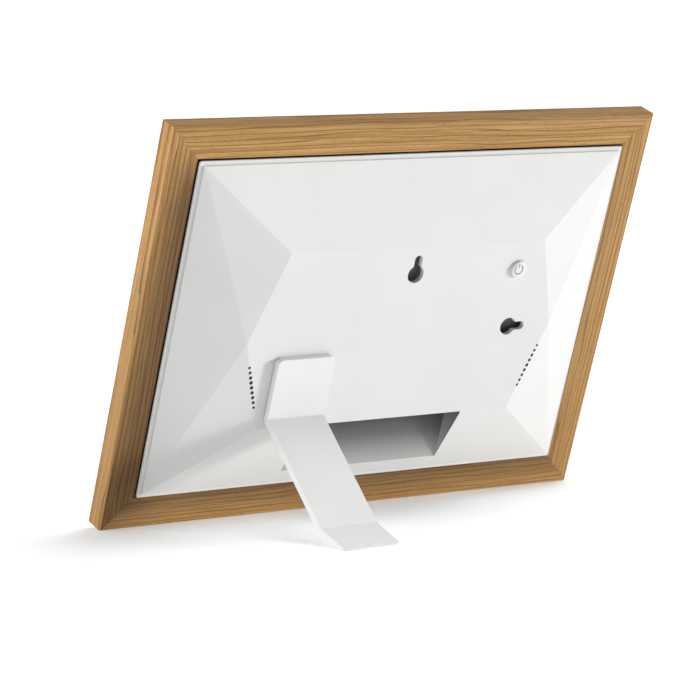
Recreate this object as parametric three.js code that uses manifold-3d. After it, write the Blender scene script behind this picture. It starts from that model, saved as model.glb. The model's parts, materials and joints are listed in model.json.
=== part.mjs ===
// Digital photo frame: an oak moulding around a ten inch screen, with a faceted plastic back
// cover and a bent stand that turns a quarter turn for landscape or portrait.
//
// Millimetres. Everything is drawn in the frame's own axes, inside one leaning group:
// x runs to the right seen from the front, y runs from the front face (0) towards the back,
// z runs up the picture with 0 at its middle. The group leans the frame back onto its stand.

import * as THREE from "three";
import { ConvexGeometry } from "three/addons/geometries/ConvexGeometry.js";
import { mergeVertices } from "three/addons/utils/BufferGeometryUtils.js";
import Module from "manifold-3d";

const wasm = await Module();
wasm.setup();

// ---------------------------------------------------------------- driving dimensions

const leanAngle = THREE.MathUtils.degToRad(18.5);
const fitGap = 0.3; // between pieces that touch on the real thing
const roundSides = 32;
const smallSides = 12;

// screen and what surrounds it
const screenWidth = 229.4;
const screenHeight = 149;
const pictureWidth = 217;
const pictureHeight = 135.6;
const screenMarginX = 7.1; // screen edge to the outside of the back cover
const screenMarginZ = 9.55;

// oak moulding
const railDepth = 11.1;
const railBackWidth = 15.6;
const railFaceWidth = 19;
const railLip = 3;
const coverGap = 0.6; // shadow gap between oak and back cover
const mitreGap = 0.3;

// layers behind the lip
const glassThickness = 1.8;
const matThickness = 1;
const cellThickness = 1.2;
const backlightThickness = 2;
const chassisThickness = 0.8;
const chassisInset = 1.8; // inside the foot of the facets

// back cover
const rimProud = 2; // how far the rim stands out of the oak
const rimFlat = 2;
const coverRise = 14.4; // rim to the flat of the back
const coverWallDrop = 2.2;
const bayWall = 2;
const sideFacetRun = 31.8; // rim to the middle corner of the flat
const endFacetRun = 46.5; // rim to the four end corners of the flat
const topFacetRun = 38.45;
const bottomFacetRun = 36.45;
const middleCornerZ = -0.7;

// port bay in the bottom facet
const bayWidth = 91.2;
const bayHeight = 30.8;

// sound holes along the two lower creases
const soundHoles = 9;
const soundHoleStart = 0.274; // share of the crease before the first hole
const soundHoleEnd = 0.736;
const soundHoleSmall = 1.45;
const soundHoleLarge = 1.9;

// keyholes for hanging
const keyholeHead = 8.8;
const keyholeSlot = 4.2;
const keyholeTravel = 7.5;
const keyholeTopMargin = 6.8; // top crease to the end of the slot
const keyholeSideMargin = 17.8; // middle corner to the end of the slot
const keyholeSideZ = -1.4;
const cupDepth = 5;
const cupWall = 1.1;
const cupRoom = 1.1; // room around the screw head

// power button
const buttonDiameter = 8.8;
const buttonProud = 1.7;
const buttonClearance = 0.35;
const buttonTravel = 0.8;
const buttonFlange = 1.4;
const buttonInsetX = 12.8;
const buttonInsetZ = 14.6;

// stand
const standWidth = 31.4;
const standThickness = 3.4;
const standInsetX = 33.1; // in from the middle corner of the flat
const pivotRise = 21.6; // above the bottom crease
const standTopRise = 15.4; // pivot to the top edge
const standBendDrop = 14.6; // pivot to the inside of the bend
const legAngle = THREE.MathUtils.degToRad(63.2); // away from the plane of the picture
const legLength = 62.6;
const footLength = 16.1;
const footTip = 0.9;
const standCorner = 2.5;
const pivotDiameter = 10;
const pivotClearance = 0.5;
const collarDiameter = 18;
const collarDepth = 1.8;
const frictionRingThickness = 1;
const washerDiameter = 17;
const washerThickness = 1;

// electronics
const standoffHeight = 2.7;
const standoffDiameter = 5;
const boardThickness = 1.6;
const boardScrewInset = 5;
const speakerDiameter = 34;
const speakerDepth = 7;
const speakerBackGap = 1.7; // chassis to speaker
const clothThickness = 0.4;
const leadDiameter = 1.2;
const ribbonWidth = 22;
const ribbonThickness = 0.3;
const jackSize = { width: 7.5, height: 5.5, length: 12 };
const usbSize = { width: 7.8, height: 3, length: 6 };
const cardSize = { width: 26.4, height: 3.4, length: 26 };

// ---------------------------------------------------------------- derived dimensions

const coverHalfX = screenWidth / 2 + screenMarginX;
const coverHalfZ = screenHeight / 2 + screenMarginZ;
const frameHalfX = coverHalfX + coverGap + railBackWidth;
const frameHalfZ = coverHalfZ + coverGap + railBackWidth;

const glassFront = railLip + fitGap;
const matFront = glassFront + glassThickness + fitGap;
const cellFront = matFront + matThickness + fitGap;
const backlightFront = cellFront + cellThickness + fitGap;
const chassisFront = backlightFront + backlightThickness + fitGap;
const chassisBack = chassisFront + chassisThickness;
const standoffFront = chassisBack + fitGap;
const boardFront = standoffFront + standoffHeight + fitGap;
const boardBack = boardFront + boardThickness;
const onBoard = boardBack + fitGap;

const rimY = railDepth + rimProud;
const flatY = rimY + coverRise;
const innerFlatY = flatY - coverWallDrop;
const skirtFront = cellFront;
const facetBaseX = coverHalfX - rimFlat;
const facetBaseZ = coverHalfZ - rimFlat;

// corners of the six sided flat, as x and z
const middleCornerX = facetBaseX - sideFacetRun;
const endCornerX = facetBaseX - endFacetRun;
const topCreaseZ = facetBaseZ - topFacetRun;
const bottomCreaseZ = bottomFacetRun - facetBaseZ;

const bayFloorY = flatY - (coverRise * bayHeight) / bottomFacetRun;
const bayBottomZ = bottomCreaseZ - bayHeight;

const keyholeTopZ = topCreaseZ - keyholeTopMargin - keyholeTravel;
const keyholeSideX = keyholeSideMargin + keyholeTravel - middleCornerX;
const keyholeTop = { x: 0, z: keyholeTopZ, slotX: 0, slotZ: 1 };
const keyholeSide = { x: keyholeSideX, z: keyholeSideZ, slotX: -1, slotZ: 0 };

const buttonX = buttonInsetX - endCornerX;
const buttonZ = topCreaseZ - buttonInsetZ;

const pivotX = middleCornerX - standInsetX;
const pivotZ = bottomCreaseZ + pivotRise;
const standInnerY = flatY + fitGap;
const standOuterY = standInnerY + standThickness;

const boardLeft = 33 - middleCornerX;
const boardRight = middleCornerX - 48;
const boardBottom = bottomCreaseZ + bayWall + 0.6;
const boardTop = topCreaseZ - 5.6;
const buttonArmLeft = buttonX - 9.5;
const buttonArmBottom = buttonZ - 9;

const jackX = 25;
const usbX = 8;
const cardX = -21;
const portFaceZ = bottomCreaseZ + fitGap;

const speakerX = (middleCornerX + endCornerX) / 2;
const speakerZ = (middleCornerZ + bottomCreaseZ) / 2;
const speakerFront = chassisBack + speakerBackGap;

// the leaning group stands on the lower back edge of the oak, and its box is centred on 0, 0
const sinLean = Math.sin(leanAngle);
const cosLean = Math.cos(leanAngle);
const groupZ = frameHalfZ * cosLean + railDepth * sinLean;

// ---------------------------------------------------------------- materials

function finish(color, roughness, metalness = 0) {
  return new THREE.MeshStandardMaterial({ color, roughness, metalness });
}

const oak = finish(0xc09a6a, 0.55);
const clearGlass = finish(0xdfe8e6, 0.05);
const matCard = finish(0xf1efe9, 0.9);
const screenBlack = finish(0x15171a, 0.25);
const whitePlastic = finish(0xeeeeec, 0.6);
const buttonPlastic = finish(0xe4e4e2, 0.5);
const steel = finish(0x9a9da0, 0.4, 0.9);
const darkSteel = finish(0x5b5d60, 0.5, 0.8);
const brass = finish(0xb89a55, 0.35, 0.9);
const circuitGreen = finish(0x1d5a37, 0.5);
const blackPlastic = finish(0x1d1d1f, 0.6);
const nylon = finish(0xdcdad2, 0.6);
const cloth = finish(0x3a3b3d, 0.95);
const ribbonPlastic = finish(0xd8d2c4, 0.5);

// ---------------------------------------------------------------- shape helpers

function box(x0, x1, y0, y1, z0, z1) {
  const geometry = new THREE.BoxGeometry(x1 - x0, y1 - y0, z1 - z0);
  return geometry.translate((x0 + x1) / 2, (y0 + y1) / 2, (z0 + z1) / 2);
}

// a box that is wide and high about x and z, from y0 to y1
function slab(halfX, halfZ, y0, y1) {
  return box(-halfX, halfX, y0, y1, -halfZ, halfZ);
}

// a round bar along y
function rod(diameter, y0, y1, x = 0, z = 0, sides = roundSides) {
  const geometry = new THREE.CylinderGeometry(diameter / 2, diameter / 2, y1 - y0, sides);
  return geometry.translate(x, (y0 + y1) / 2, z);
}

// a flat outline in x and z, given thickness from y0 to y1
function plate(outline, y0, y1) {
  const geometry = new THREE.ExtrudeGeometry(outline, {
    depth: y1 - y0,
    bevelEnabled: false,
    curveSegments: 8,
  });
  return geometry.rotateX(Math.PI / 2).translate(0, y1, 0);
}

// an outline in y and z, drawn out along x
function bar(outline, x0, x1) {
  const geometry = new THREE.ExtrudeGeometry(outline, {
    depth: x1 - x0,
    bevelEnabled: false,
    curveSegments: 8,
  });
  const turn = new THREE.Matrix4().makeBasis(
    new THREE.Vector3(0, 1, 0),
    new THREE.Vector3(0, 0, 1),
    new THREE.Vector3(1, 0, 0),
  );
  return geometry.applyMatrix4(turn).translate(x0, 0, 0);
}

function shapeOf(points) {
  return new THREE.Shape(points.map(([a, b]) => new THREE.Vector2(a, b)));
}

// a closed profile of radius and height, turned about y
function turned(profile, sides = roundSides) {
  return new THREE.LatheGeometry(
    profile.map(([radius, y]) => new THREE.Vector2(radius, y)),
    sides,
  );
}

function ring(outer, inner, y0, y1, sides = roundSides) {
  const profile = [
    [inner / 2, y0],
    [outer / 2, y0],
    [outer / 2, y1],
    [inner / 2, y1],
    [inner / 2, y0],
  ];
  return turned(profile, sides);
}

// the outline swept by a circle that moves from one point to another, in x and z
function slotOutline(x0, z0, x1, z1, radius) {
  const heading = Math.atan2(z1 - z0, x1 - x0);
  const outline = new THREE.Shape();
  outline.absarc(x1, z1, radius, heading - Math.PI / 2, heading + Math.PI / 2, false);
  outline.absarc(x0, z0, radius, heading + Math.PI / 2, heading + (3 * Math.PI) / 2, false);
  outline.closePath();
  return outline;
}

// a thin strip that follows a bent line in y and z
function stripOutline(line, thickness) {
  const near = [];
  const far = [];
  line.forEach(([y, z], index) => {
    const before = line[Math.max(index - 1, 0)];
    const after = line[Math.min(index + 1, line.length - 1)];
    const run = Math.hypot(after[0] - before[0], after[1] - before[1]);
    const offsetY = (-(after[1] - before[1]) / run) * (thickness / 2);
    const offsetZ = ((after[0] - before[0]) / run) * (thickness / 2);
    near.push([y + offsetY, z + offsetZ]);
    far.unshift([y - offsetY, z - offsetZ]);
  });
  return shapeOf([...near, ...far]);
}

function solidOf(geometry) {
  const bare = geometry.clone();
  bare.deleteAttribute("normal");
  bare.deleteAttribute("uv");
  const merged = mergeVertices(bare, 1e-4);
  return new wasm.Manifold(
    new wasm.Mesh({
      numProp: 3,
      vertProperties: new Float32Array(merged.attributes.position.array),
      triVerts: new Uint32Array(merged.index.array),
    }),
  );
}

function geometryOf(solid) {
  const mesh = solid.getMesh();
  const geometry = new THREE.BufferGeometry();
  geometry.setAttribute("position", new THREE.BufferAttribute(mesh.vertProperties, 3));
  geometry.setIndex(new THREE.BufferAttribute(mesh.triVerts, 1));
  geometry.computeVertexNormals();
  return geometry;
}

// body plus every added shape, less every cut shape
function carved(body, { add = [], cut = [] }) {
  let solid = solidOf(body);
  for (const shape of add) {
    solid = solid.add(solidOf(shape));
  }
  for (const shape of cut) {
    solid = solid.subtract(solidOf(shape));
  }
  return geometryOf(solid);
}

function common(first, second) {
  return geometryOf(solidOf(first).intersect(solidOf(second)));
}

// ---------------------------------------------------------------- the assembly

const digitalPhotoFrame = new THREE.Group();
const leaning = new THREE.Group();
digitalPhotoFrame.add(leaning);

function place(name, geometry, material, x = 0, y = 0, z = 0, parent = leaning) {
  const mesh = new THREE.Mesh(geometry, material);
  mesh.name = name;
  mesh.position.set(x, y, z);
  parent.add(mesh);
  return mesh;
}

// ---------------------------------------------------------------- oak moulding

// One rail along x with mitred ends: its section is drawn as distance in from the outer
// edge against depth, and each end is drawn back by that distance.
function railGeometry(halfLength) {
  const section = shapeOf([
    [0, 0],
    [railFaceWidth, 0],
    [railFaceWidth, railLip],
    [railBackWidth, railLip],
    [railBackWidth, railDepth],
    [0, railDepth],
  ]);
  const geometry = new THREE.ExtrudeGeometry(section, { depth: 1, bevelEnabled: false });
  const points = geometry.attributes.position;
  for (let index = 0; index < points.count; index += 1) {
    const inward = points.getX(index);
    const depth = points.getY(index);
    const reach = halfLength - inward - mitreGap / Math.SQRT2;
    points.setXYZ(index, points.getZ(index) > 0.5 ? reach : -reach, depth, -inward);
  }
  geometry.computeVertexNormals();
  return geometry;
}

function addRails() {
  const rails = [
    ["frame_rail_top", frameHalfX, frameHalfZ, 0],
    ["frame_rail_left", frameHalfZ, frameHalfX, -Math.PI / 2],
    ["frame_rail_bottom", frameHalfX, frameHalfZ, Math.PI],
    ["frame_rail_right", frameHalfZ, frameHalfX, Math.PI / 2],
  ];
  for (const [name, halfLength, outward, turn] of rails) {
    const rail = place(name, railGeometry(halfLength), oak);
    rail.rotation.y = turn;
    rail.position.set(Math.sin(turn) * outward, 0, Math.cos(turn) * outward);
  }
}

// spring clips between the oak and the skirt of the back cover, one on each side
const clipLength = 12;
const clipDepth = 3;
const clipPocket = 0.9;
const clipThickness = 0.3;
const clipFront = skirtFront + 0.6;

function clipGeometry() {
  const low = fitGap + clipThickness / 2 - clipPocket;
  const high = coverGap - fitGap - clipThickness / 2;
  const line = [
    [clipFront, low],
    [clipFront + clipDepth * 0.3, high],
    [clipFront + clipDepth * 0.7, high],
    [clipFront + clipDepth, low],
  ];
  return bar(stripOutline(line, clipThickness), -clipLength / 2, clipLength / 2);
}

function clipPocketAt(turn, outward) {
  const half = clipLength / 2 + fitGap;
  const top = clipFront + clipDepth + fitGap;
  const geometry = box(-half, half, skirtFront - 1, top, -clipPocket, 1);
  geometry.translate(0, 0, outward);
  return geometry.rotateY(turn);
}

const clipPlaces = [
  ["frame_clip_top", 0, coverHalfZ],
  ["frame_clip_left", -Math.PI / 2, coverHalfX],
  ["frame_clip_bottom", Math.PI, coverHalfZ],
  ["frame_clip_right", Math.PI / 2, coverHalfX],
];

function addClips() {
  for (const [name, turn, outward] of clipPlaces) {
    const clip = place(name, clipGeometry(), steel);
    clip.rotation.y = turn;
    clip.position.set(Math.sin(turn) * outward, 0, Math.cos(turn) * outward);
  }
}

// ---------------------------------------------------------------- screen stack

const chassisScrewX = 60;
const chassisScrewZ = facetBaseZ - 4.1;
const chassisScrewHole = 2.8;
const ribbonX = -8;
const ribbonSlotZ = boardTop + 10;
const ribbonSlotHeight = 20;

function addScreenStack() {
  const glass = slab(coverHalfX, coverHalfZ, glassFront, glassFront + glassThickness);
  place("front_glass", glass, clearGlass);

  const opening = slab(pictureWidth / 2, pictureHeight / 2, matFront - 1, matFront + 2);
  const card = slab(coverHalfX, coverHalfZ, matFront, matFront + matThickness);
  place("mat_board", carved(card, { cut: [opening] }), matCard);

  const halfX = screenWidth / 2;
  const halfZ = screenHeight / 2;
  place("lcd_panel", slab(halfX, halfZ, cellFront, cellFront + cellThickness), screenBlack);
  const backlight = slab(halfX, halfZ, backlightFront, backlightFront + backlightThickness);
  place("backlight_unit", backlight, blackPlastic);

  const cuts = [];
  for (const side of [-1, 1]) {
    for (const end of [-1, 1]) {
      cuts.push(
        rod(chassisScrewHole, chassisFront - 1, chassisBack + 1, side * chassisScrewX,
          end * chassisScrewZ, smallSides),
      );
    }
  }
  const slotHalf = ribbonWidth / 2 + 2;
  cuts.push(
    box(ribbonX - slotHalf, ribbonX + slotHalf, chassisFront - 1, chassisBack + 1,
      ribbonSlotZ, ribbonSlotZ + ribbonSlotHeight),
  );
  const plateX = facetBaseX - chassisInset;
  const plateZ = facetBaseZ - chassisInset;
  const sheet = slab(plateX, plateZ, chassisFront, chassisBack);
  place("chassis_plate", carved(sheet, { cut: cuts }), steel);
}

// a pan head screw along y, its head towards negative y
function screwGeometry(headDiameter, headHeight, shankDiameter, length) {
  const head = headDiameter / 2;
  const shank = shankDiameter / 2;
  return turned([
    [0, 0],
    [head * 0.75, 0],
    [head, headHeight * 0.45],
    [head, headHeight],
    [shank, headHeight],
    [shank, headHeight + length * 0.9],
    [shank * 0.4, headHeight + length],
    [0, headHeight + length],
  ], smallSides);
}

const chassisHead = 1;

function addChassisScrews() {
  const start = chassisFront - fitGap - chassisHead;
  for (const side of [-1, 1]) {
    for (const end of [-1, 1]) {
      const name = `chassis_screw_${end > 0 ? "top" : "bottom"}_${side > 0 ? "right" : "left"}`;
      const screw = screwGeometry(4, chassisHead, 1.9, 3.2);
      place(name, screw, steel, side * chassisScrewX, start, end * chassisScrewZ);
    }
  }
}

// ---------------------------------------------------------------- electronics

function boardCorners() {
  return [
    [boardLeft + boardScrewInset, boardBottom + boardScrewInset],
    [boardRight - boardScrewInset, boardBottom + boardScrewInset],
    [boardLeft + boardScrewInset, boardTop - boardScrewInset],
    [boardRight - boardScrewInset, boardTop - boardScrewInset],
  ];
}

function addBoard() {
  const outline = shapeOf([
    [boardLeft, boardBottom],
    [boardRight, boardBottom],
    [boardRight, boardTop],
    [buttonArmLeft, boardTop],
    [buttonArmLeft, buttonArmBottom],
    [boardLeft, buttonArmBottom],
  ]);
  const cuts = boardCorners().map(([x, z]) =>
    rod(2.8, boardFront - 1, boardBack + 1, x, z, smallSides),
  );
  const board = carved(plate(outline, boardFront, boardBack), { cut: cuts });
  place("main_board", board, circuitGreen);

  boardCorners().forEach(([x, z], index) => {
    const number = index + 1;
    const sleeve = ring(standoffDiameter, 2.8, 0, standoffHeight, smallSides);
    place(`board_standoff_${number}`, sleeve, brass, x, standoffFront, z);
    const screw = screwGeometry(4.4, 1.6, 2.2, 3.6).rotateX(Math.PI);
    place(`board_screw_${number}`, screw, steel, x, onBoard + 1.6, z);
  });
}

function addBoardParts() {
  const canHeight = 2.4;
  const canHalf = 12;
  const canSheet = 0.4;
  const canRoom = canHalf - canSheet;
  const canX = (boardLeft + boardRight) / 2;
  const canZ = portFaceZ + cardSize.length + canHalf + 2;
  const can = carved(box(-canHalf, canHalf, 0, canHeight, -canHalf, canHalf), {
    cut: [box(-canRoom, canRoom, -1, canHeight - canSheet, -canRoom, canRoom)],
  });
  place("processor_shield", can, steel, canX, onBoard, canZ);

  const radio = carved(box(-6, 6, 0, 0.8, -8, 8), { add: [box(-5.2, 5.2, 0.5, 2, -4.5, 7.2)] });
  place("wifi_module", radio, darkSteel, boardLeft + 10, onBoard, boardTop - 22);

  const switchBody = carved(box(-3, 3, 0, 3.5, -3, 3), { add: [rod(3.4, 3, 4.3, 0, 0, smallSides)] });
  place("power_switch", switchBody, blackPlastic, buttonX, onBoard, buttonZ);
}

// a body whose mouth opens downwards at z = 0 and which runs up to its length
function portBody(size) {
  return box(-size.width / 2, size.width / 2, 0, size.height, 0, size.length);
}

function addPorts() {
  const jackMiddle = jackSize.height / 2;
  const mouth = new THREE.CylinderGeometry(1.75, 1.75, 18, smallSides).rotateX(Math.PI / 2);
  const pin = new THREE.CylinderGeometry(0.65, 0.65, 8.5, smallSides).rotateX(Math.PI / 2);
  mouth.translate(0, jackMiddle, 0);
  pin.translate(0, jackMiddle, 5.25);
  const jack = geometryOf(
    solidOf(portBody(jackSize)).subtract(solidOf(mouth)).add(solidOf(pin)),
  );
  place("power_jack", jack, blackPlastic, jackX, onBoard, portFaceZ);

  const tongue = box(-2.6, 2.6, 1.3, 1.8, 0.6, 5.4);
  const usbMouth = box(-3.45, 3.45, 0.45, usbSize.height - 0.45, -1, 5);
  const usb = geometryOf(solidOf(portBody(usbSize)).subtract(solidOf(usbMouth)).add(solidOf(tongue)));
  place("usb_port", usb, steel, usbX, onBoard, portFaceZ);

  const cardMouth = box(-12.2, 12.2, 0.5, cardSize.height - 0.5, -1, 24);
  const card = carved(portBody(cardSize), { cut: [cardMouth] });
  place("card_slot", card, steel, cardX, onBoard, portFaceZ);
}

// the three holes in the top wall of the bay
function portHoles() {
  const clearance = 0.4;
  return [
    [jackX, jackSize],
    [usbX, usbSize],
    [cardX, cardSize],
  ].map(([x, size]) =>
    box(x - size.width / 2 - clearance, x + size.width / 2 + clearance, onBoard - 0.2,
      onBoard + size.height + clearance, bottomCreaseZ - 1, bottomCreaseZ + bayWall + 1),
  );
}

// flat ribbon from the screen, through the chassis, to the top of the board
function addRibbon() {
  const low = chassisFront + ribbonThickness / 2;
  const high = onBoard + ribbonThickness / 2;
  const line = [
    [low, ribbonSlotZ + ribbonSlotHeight - 2],
    [low, ribbonSlotZ + 9],
    [low + 0.8, ribbonSlotZ + 6],
    [high - 0.6, ribbonSlotZ - 3],
    [high, ribbonSlotZ - 7],
    [high, boardTop - 5],
  ];
  const half = ribbonWidth / 2;
  const strip = bar(stripOutline(line, ribbonThickness), ribbonX - half, ribbonX + half);
  place("screen_ribbon", strip, ribbonPlastic);
}

// ---------------------------------------------------------------- sound

// a speaker with its cone towards the back, its basket towards the screen
function speakerGeometry() {
  const edge = speakerDiameter / 2;
  return turned([
    [0, 0],
    [8, 0],
    [8, 2.6],
    [edge - 1.5, 4.2],
    [edge, 4.8],
    [edge, speakerDepth],
    [edge - 2, speakerDepth],
    [6, 4.6],
    [4, 5.4],
    [0, 6],
  ]);
}

function leadPath(start, end, sag) {
  const middle = start.clone().lerp(end, 0.5);
  middle.z += sag;
  return new THREE.CatmullRomCurve3([
    start,
    start.clone().lerp(middle, 0.4).add(new THREE.Vector3(0, 0, sag * 0.3)),
    middle,
    end.clone().lerp(middle, 0.4).add(new THREE.Vector3(0, 0, sag * 0.3)),
    end,
  ]);
}

function leadGeometry(path) {
  const section = new THREE.Shape();
  section.absarc(0, 0, leadDiameter / 2, 0, Math.PI * 2, false);
  return new THREE.ExtrudeGeometry(section, {
    steps: 14,
    bevelEnabled: false,
    extrudePath: path,
    curveSegments: 8,
  });
}

// the outer skin of the facets, lowered by drop, from the sheet at y = base
function facetHull(drop, base) {
  const points = [];
  for (const side of [-1, 1]) {
    for (const end of [-1, 1]) {
      points.push(new THREE.Vector3(side * facetBaseX, base, end * facetBaseZ));
      points.push(new THREE.Vector3(side * facetBaseX, rimY - drop, end * facetBaseZ));
    }
    points.push(new THREE.Vector3(side * endCornerX, flatY - drop, topCreaseZ));
    points.push(new THREE.Vector3(side * middleCornerX, flatY - drop, middleCornerZ));
    points.push(new THREE.Vector3(side * endCornerX, flatY - drop, bottomCreaseZ));
  }
  return new ConvexGeometry(points);
}

// a point on the lower crease of one side, as a share of the way down it
function onCrease(side, share) {
  const x = middleCornerX + (endCornerX - middleCornerX) * share;
  const z = middleCornerZ + (bottomCreaseZ - middleCornerZ) * share;
  return [side * x, z];
}

// acoustic cloth bonded behind the sound holes, bent to the crease
function clothGeometry(side) {
  const [x0, z0] = onCrease(side, soundHoleStart - 0.08);
  const [x1, z1] = onCrease(side, soundHoleEnd + 0.08);
  const strip = plate(slotOutline(x0, z0, x1, z1, 4), flatY - 8, flatY);
  const near = coverWallDrop + fitGap;
  const layer = solidOf(facetHull(near, rimY - near - 2)).subtract(
    solidOf(facetHull(near + clothThickness, rimY - near - 3)),
  );
  return geometryOf(layer.intersect(solidOf(strip)));
}

function addSound() {
  for (const side of [-1, 1]) {
    const hand = side > 0 ? "right" : "left";
    place(`speaker_${hand}`, speakerGeometry(), blackPlastic, side * speakerX, speakerFront,
      speakerZ);
    place(`speaker_cloth_${hand}`, clothGeometry(side), cloth);
    const boardEdge = side > 0 ? boardRight - 2 : boardLeft + 3;
    const leadZ = speakerZ + 9;
    const height = onBoard + leadDiameter;
    const start = new THREE.Vector3(side * (speakerX - speakerDiameter / 2 - 1), height, leadZ);
    const end = new THREE.Vector3(boardEdge, height, leadZ + 3);
    place(`speaker_lead_${hand}`, leadGeometry(leadPath(start, end, 2)), blackPlastic);
  }
}

// ---------------------------------------------------------------- back cover

function keyholeCuts(keyhole) {
  const slotX = keyhole.x + keyhole.slotX * keyholeTravel;
  const slotZ = keyhole.z + keyhole.slotZ * keyholeTravel;
  const slot = slotOutline(keyhole.x, keyhole.z, slotX, slotZ, keyholeSlot / 2);
  return [
    rod(keyholeHead, innerFlatY - 1, flatY + 1, keyhole.x, keyhole.z),
    plate(slot, innerFlatY - 1, flatY + 1),
  ];
}

function soundHoleCuts() {
  const cuts = [];
  for (const side of [-1, 1]) {
    for (let index = 0; index < soundHoles; index += 1) {
      const along = index / (soundHoles - 1);
      const share = soundHoleStart + (soundHoleEnd - soundHoleStart) * along;
      const swell = 1 - (2 * along - 1) ** 2;
      const diameter = soundHoleSmall + (soundHoleLarge - soundHoleSmall) * swell;
      const [x, z] = onCrease(side, share);
      cuts.push(rod(diameter, flatY - 5, flatY + 1, x, z, 12));
    }
  }
  return cuts;
}

function addRearCover() {
  const skin = carved(facetHull(0, rimY - 1), {
    add: [slab(coverHalfX, coverHalfZ, skirtFront, rimY)],
  });
  let cover = solidOf(skin).subtract(solidOf(facetHull(coverWallDrop, skirtFront - 1)));

  const inside = solidOf(skin);
  const bayHalf = bayWidth / 2;
  const bayOuter = box(-bayHalf - bayWall, bayHalf + bayWall, bayFloorY - bayWall, flatY,
    bayBottomZ - bayWall, bottomCreaseZ + bayWall);
  cover = cover.add(inside.intersect(solidOf(bayOuter)));
  for (const side of [-1, 1]) {
    for (const end of [-1, 1]) {
      const boss = rod(5.4, chassisBack + fitGap, rimY + 1, side * chassisScrewX,
        end * chassisScrewZ, smallSides);
      cover = cover.add(inside.intersect(solidOf(boss)));
    }
  }
  cover = cover.add(
    solidOf(rod(collarDiameter, innerFlatY - collarDepth, innerFlatY + 1, pivotX, pivotZ)),
  );

  const cuts = [
    box(-bayHalf, bayHalf, bayFloorY, flatY + 5, bayBottomZ, bottomCreaseZ),
    rod(pivotDiameter + 2 * pivotClearance, innerFlatY - collarDepth - 1, flatY + 1, pivotX,
      pivotZ),
    rod(buttonDiameter + 2 * buttonClearance, innerFlatY - 1, flatY + 1, buttonX, buttonZ),
    ...keyholeCuts(keyholeTop),
    ...keyholeCuts(keyholeSide),
    ...soundHoleCuts(),
    ...portHoles(),
    ...clipPlaces.map(([, turn, outward]) => clipPocketAt(turn, outward)),
  ];
  for (const side of [-1, 1]) {
    for (const end of [-1, 1]) {
      cuts.push(rod(2.3, chassisBack, rimY + 0.3, side * chassisScrewX, end * chassisScrewZ,
        smallSides));
    }
  }
  for (const cut of cuts) {
    cover = cover.subtract(solidOf(cut));
  }
  place("rear_cover", geometryOf(cover), whitePlastic);
}

// steel cup behind a keyhole, open towards the cover, with room for the screw head to slide
function cupGeometry(keyhole) {
  const slotX = keyhole.slotX * keyholeTravel;
  const slotZ = keyhole.slotZ * keyholeTravel;
  const inner = keyholeHead / 2 + cupRoom;
  const outside = plate(slotOutline(0, 0, slotX, slotZ, inner + cupWall), 0, cupDepth);
  const inside = plate(slotOutline(0, 0, slotX, slotZ, inner), cupWall, cupDepth + 1);
  return carved(outside, { cut: [inside] });
}

function addHangers() {
  const start = innerFlatY - fitGap - cupDepth;
  place("hanger_cup_landscape", cupGeometry(keyholeTop), darkSteel, keyholeTop.x, start,
    keyholeTop.z);
  place("hanger_cup_portrait", cupGeometry(keyholeSide), darkSteel, keyholeSide.x, start,
    keyholeSide.z);
}

// ---------------------------------------------------------------- power button

function addPowerButton() {
  const flangeTop = innerFlatY - fitGap;
  const stemEnd = onBoard + 4.3 + buttonTravel + fitGap;
  const edge = buttonDiameter / 2;
  const profile = [
    [0, stemEnd],
    [1.6, stemEnd],
    [1.6, flangeTop - 1],
    [edge + buttonFlange, flangeTop - 1],
    [edge + buttonFlange, flangeTop],
    [edge, flangeTop],
    [edge, flatY + buttonProud - 0.5],
    [edge - 0.5, flatY + buttonProud],
    [0, flatY + buttonProud],
  ];
  place("power_button", turned(profile), buttonPlastic, buttonX, 0, buttonZ);
}

// ---------------------------------------------------------------- stand

// where the floor crosses the leaning axes: z on the floor at a given y
function floorZ(y) {
  return (y * sinLean - groupZ) / cosLean;
}

// the stand's side outline in y and z: mount against the flat, leg, wedge foot on the floor
function standPoints() {
  const bendZ = pivotZ - standBendDrop;
  const along = [Math.sin(legAngle), -Math.cos(legAngle)];
  const outerBendZ = bendZ - standThickness * Math.tan(legAngle / 2);
  const outerBend = [standInnerY, outerBendZ];
  const fall = along[1] - (along[0] * sinLean) / cosLean;
  const toFloor = (floorZ(outerBend[0]) - outerBend[1]) / fall;
  const heel = [outerBend[0] + along[0] * toFloor, outerBend[1] + along[1] * toFloor];
  const toe = [heel[0] + footLength * cosLean, heel[1] + footLength * sinLean];
  const instep = [standOuterY + along[0] * legLength, bendZ + along[1] * legLength];
  return { bendZ, outerBend, heel, toe, instep };
}

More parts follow.
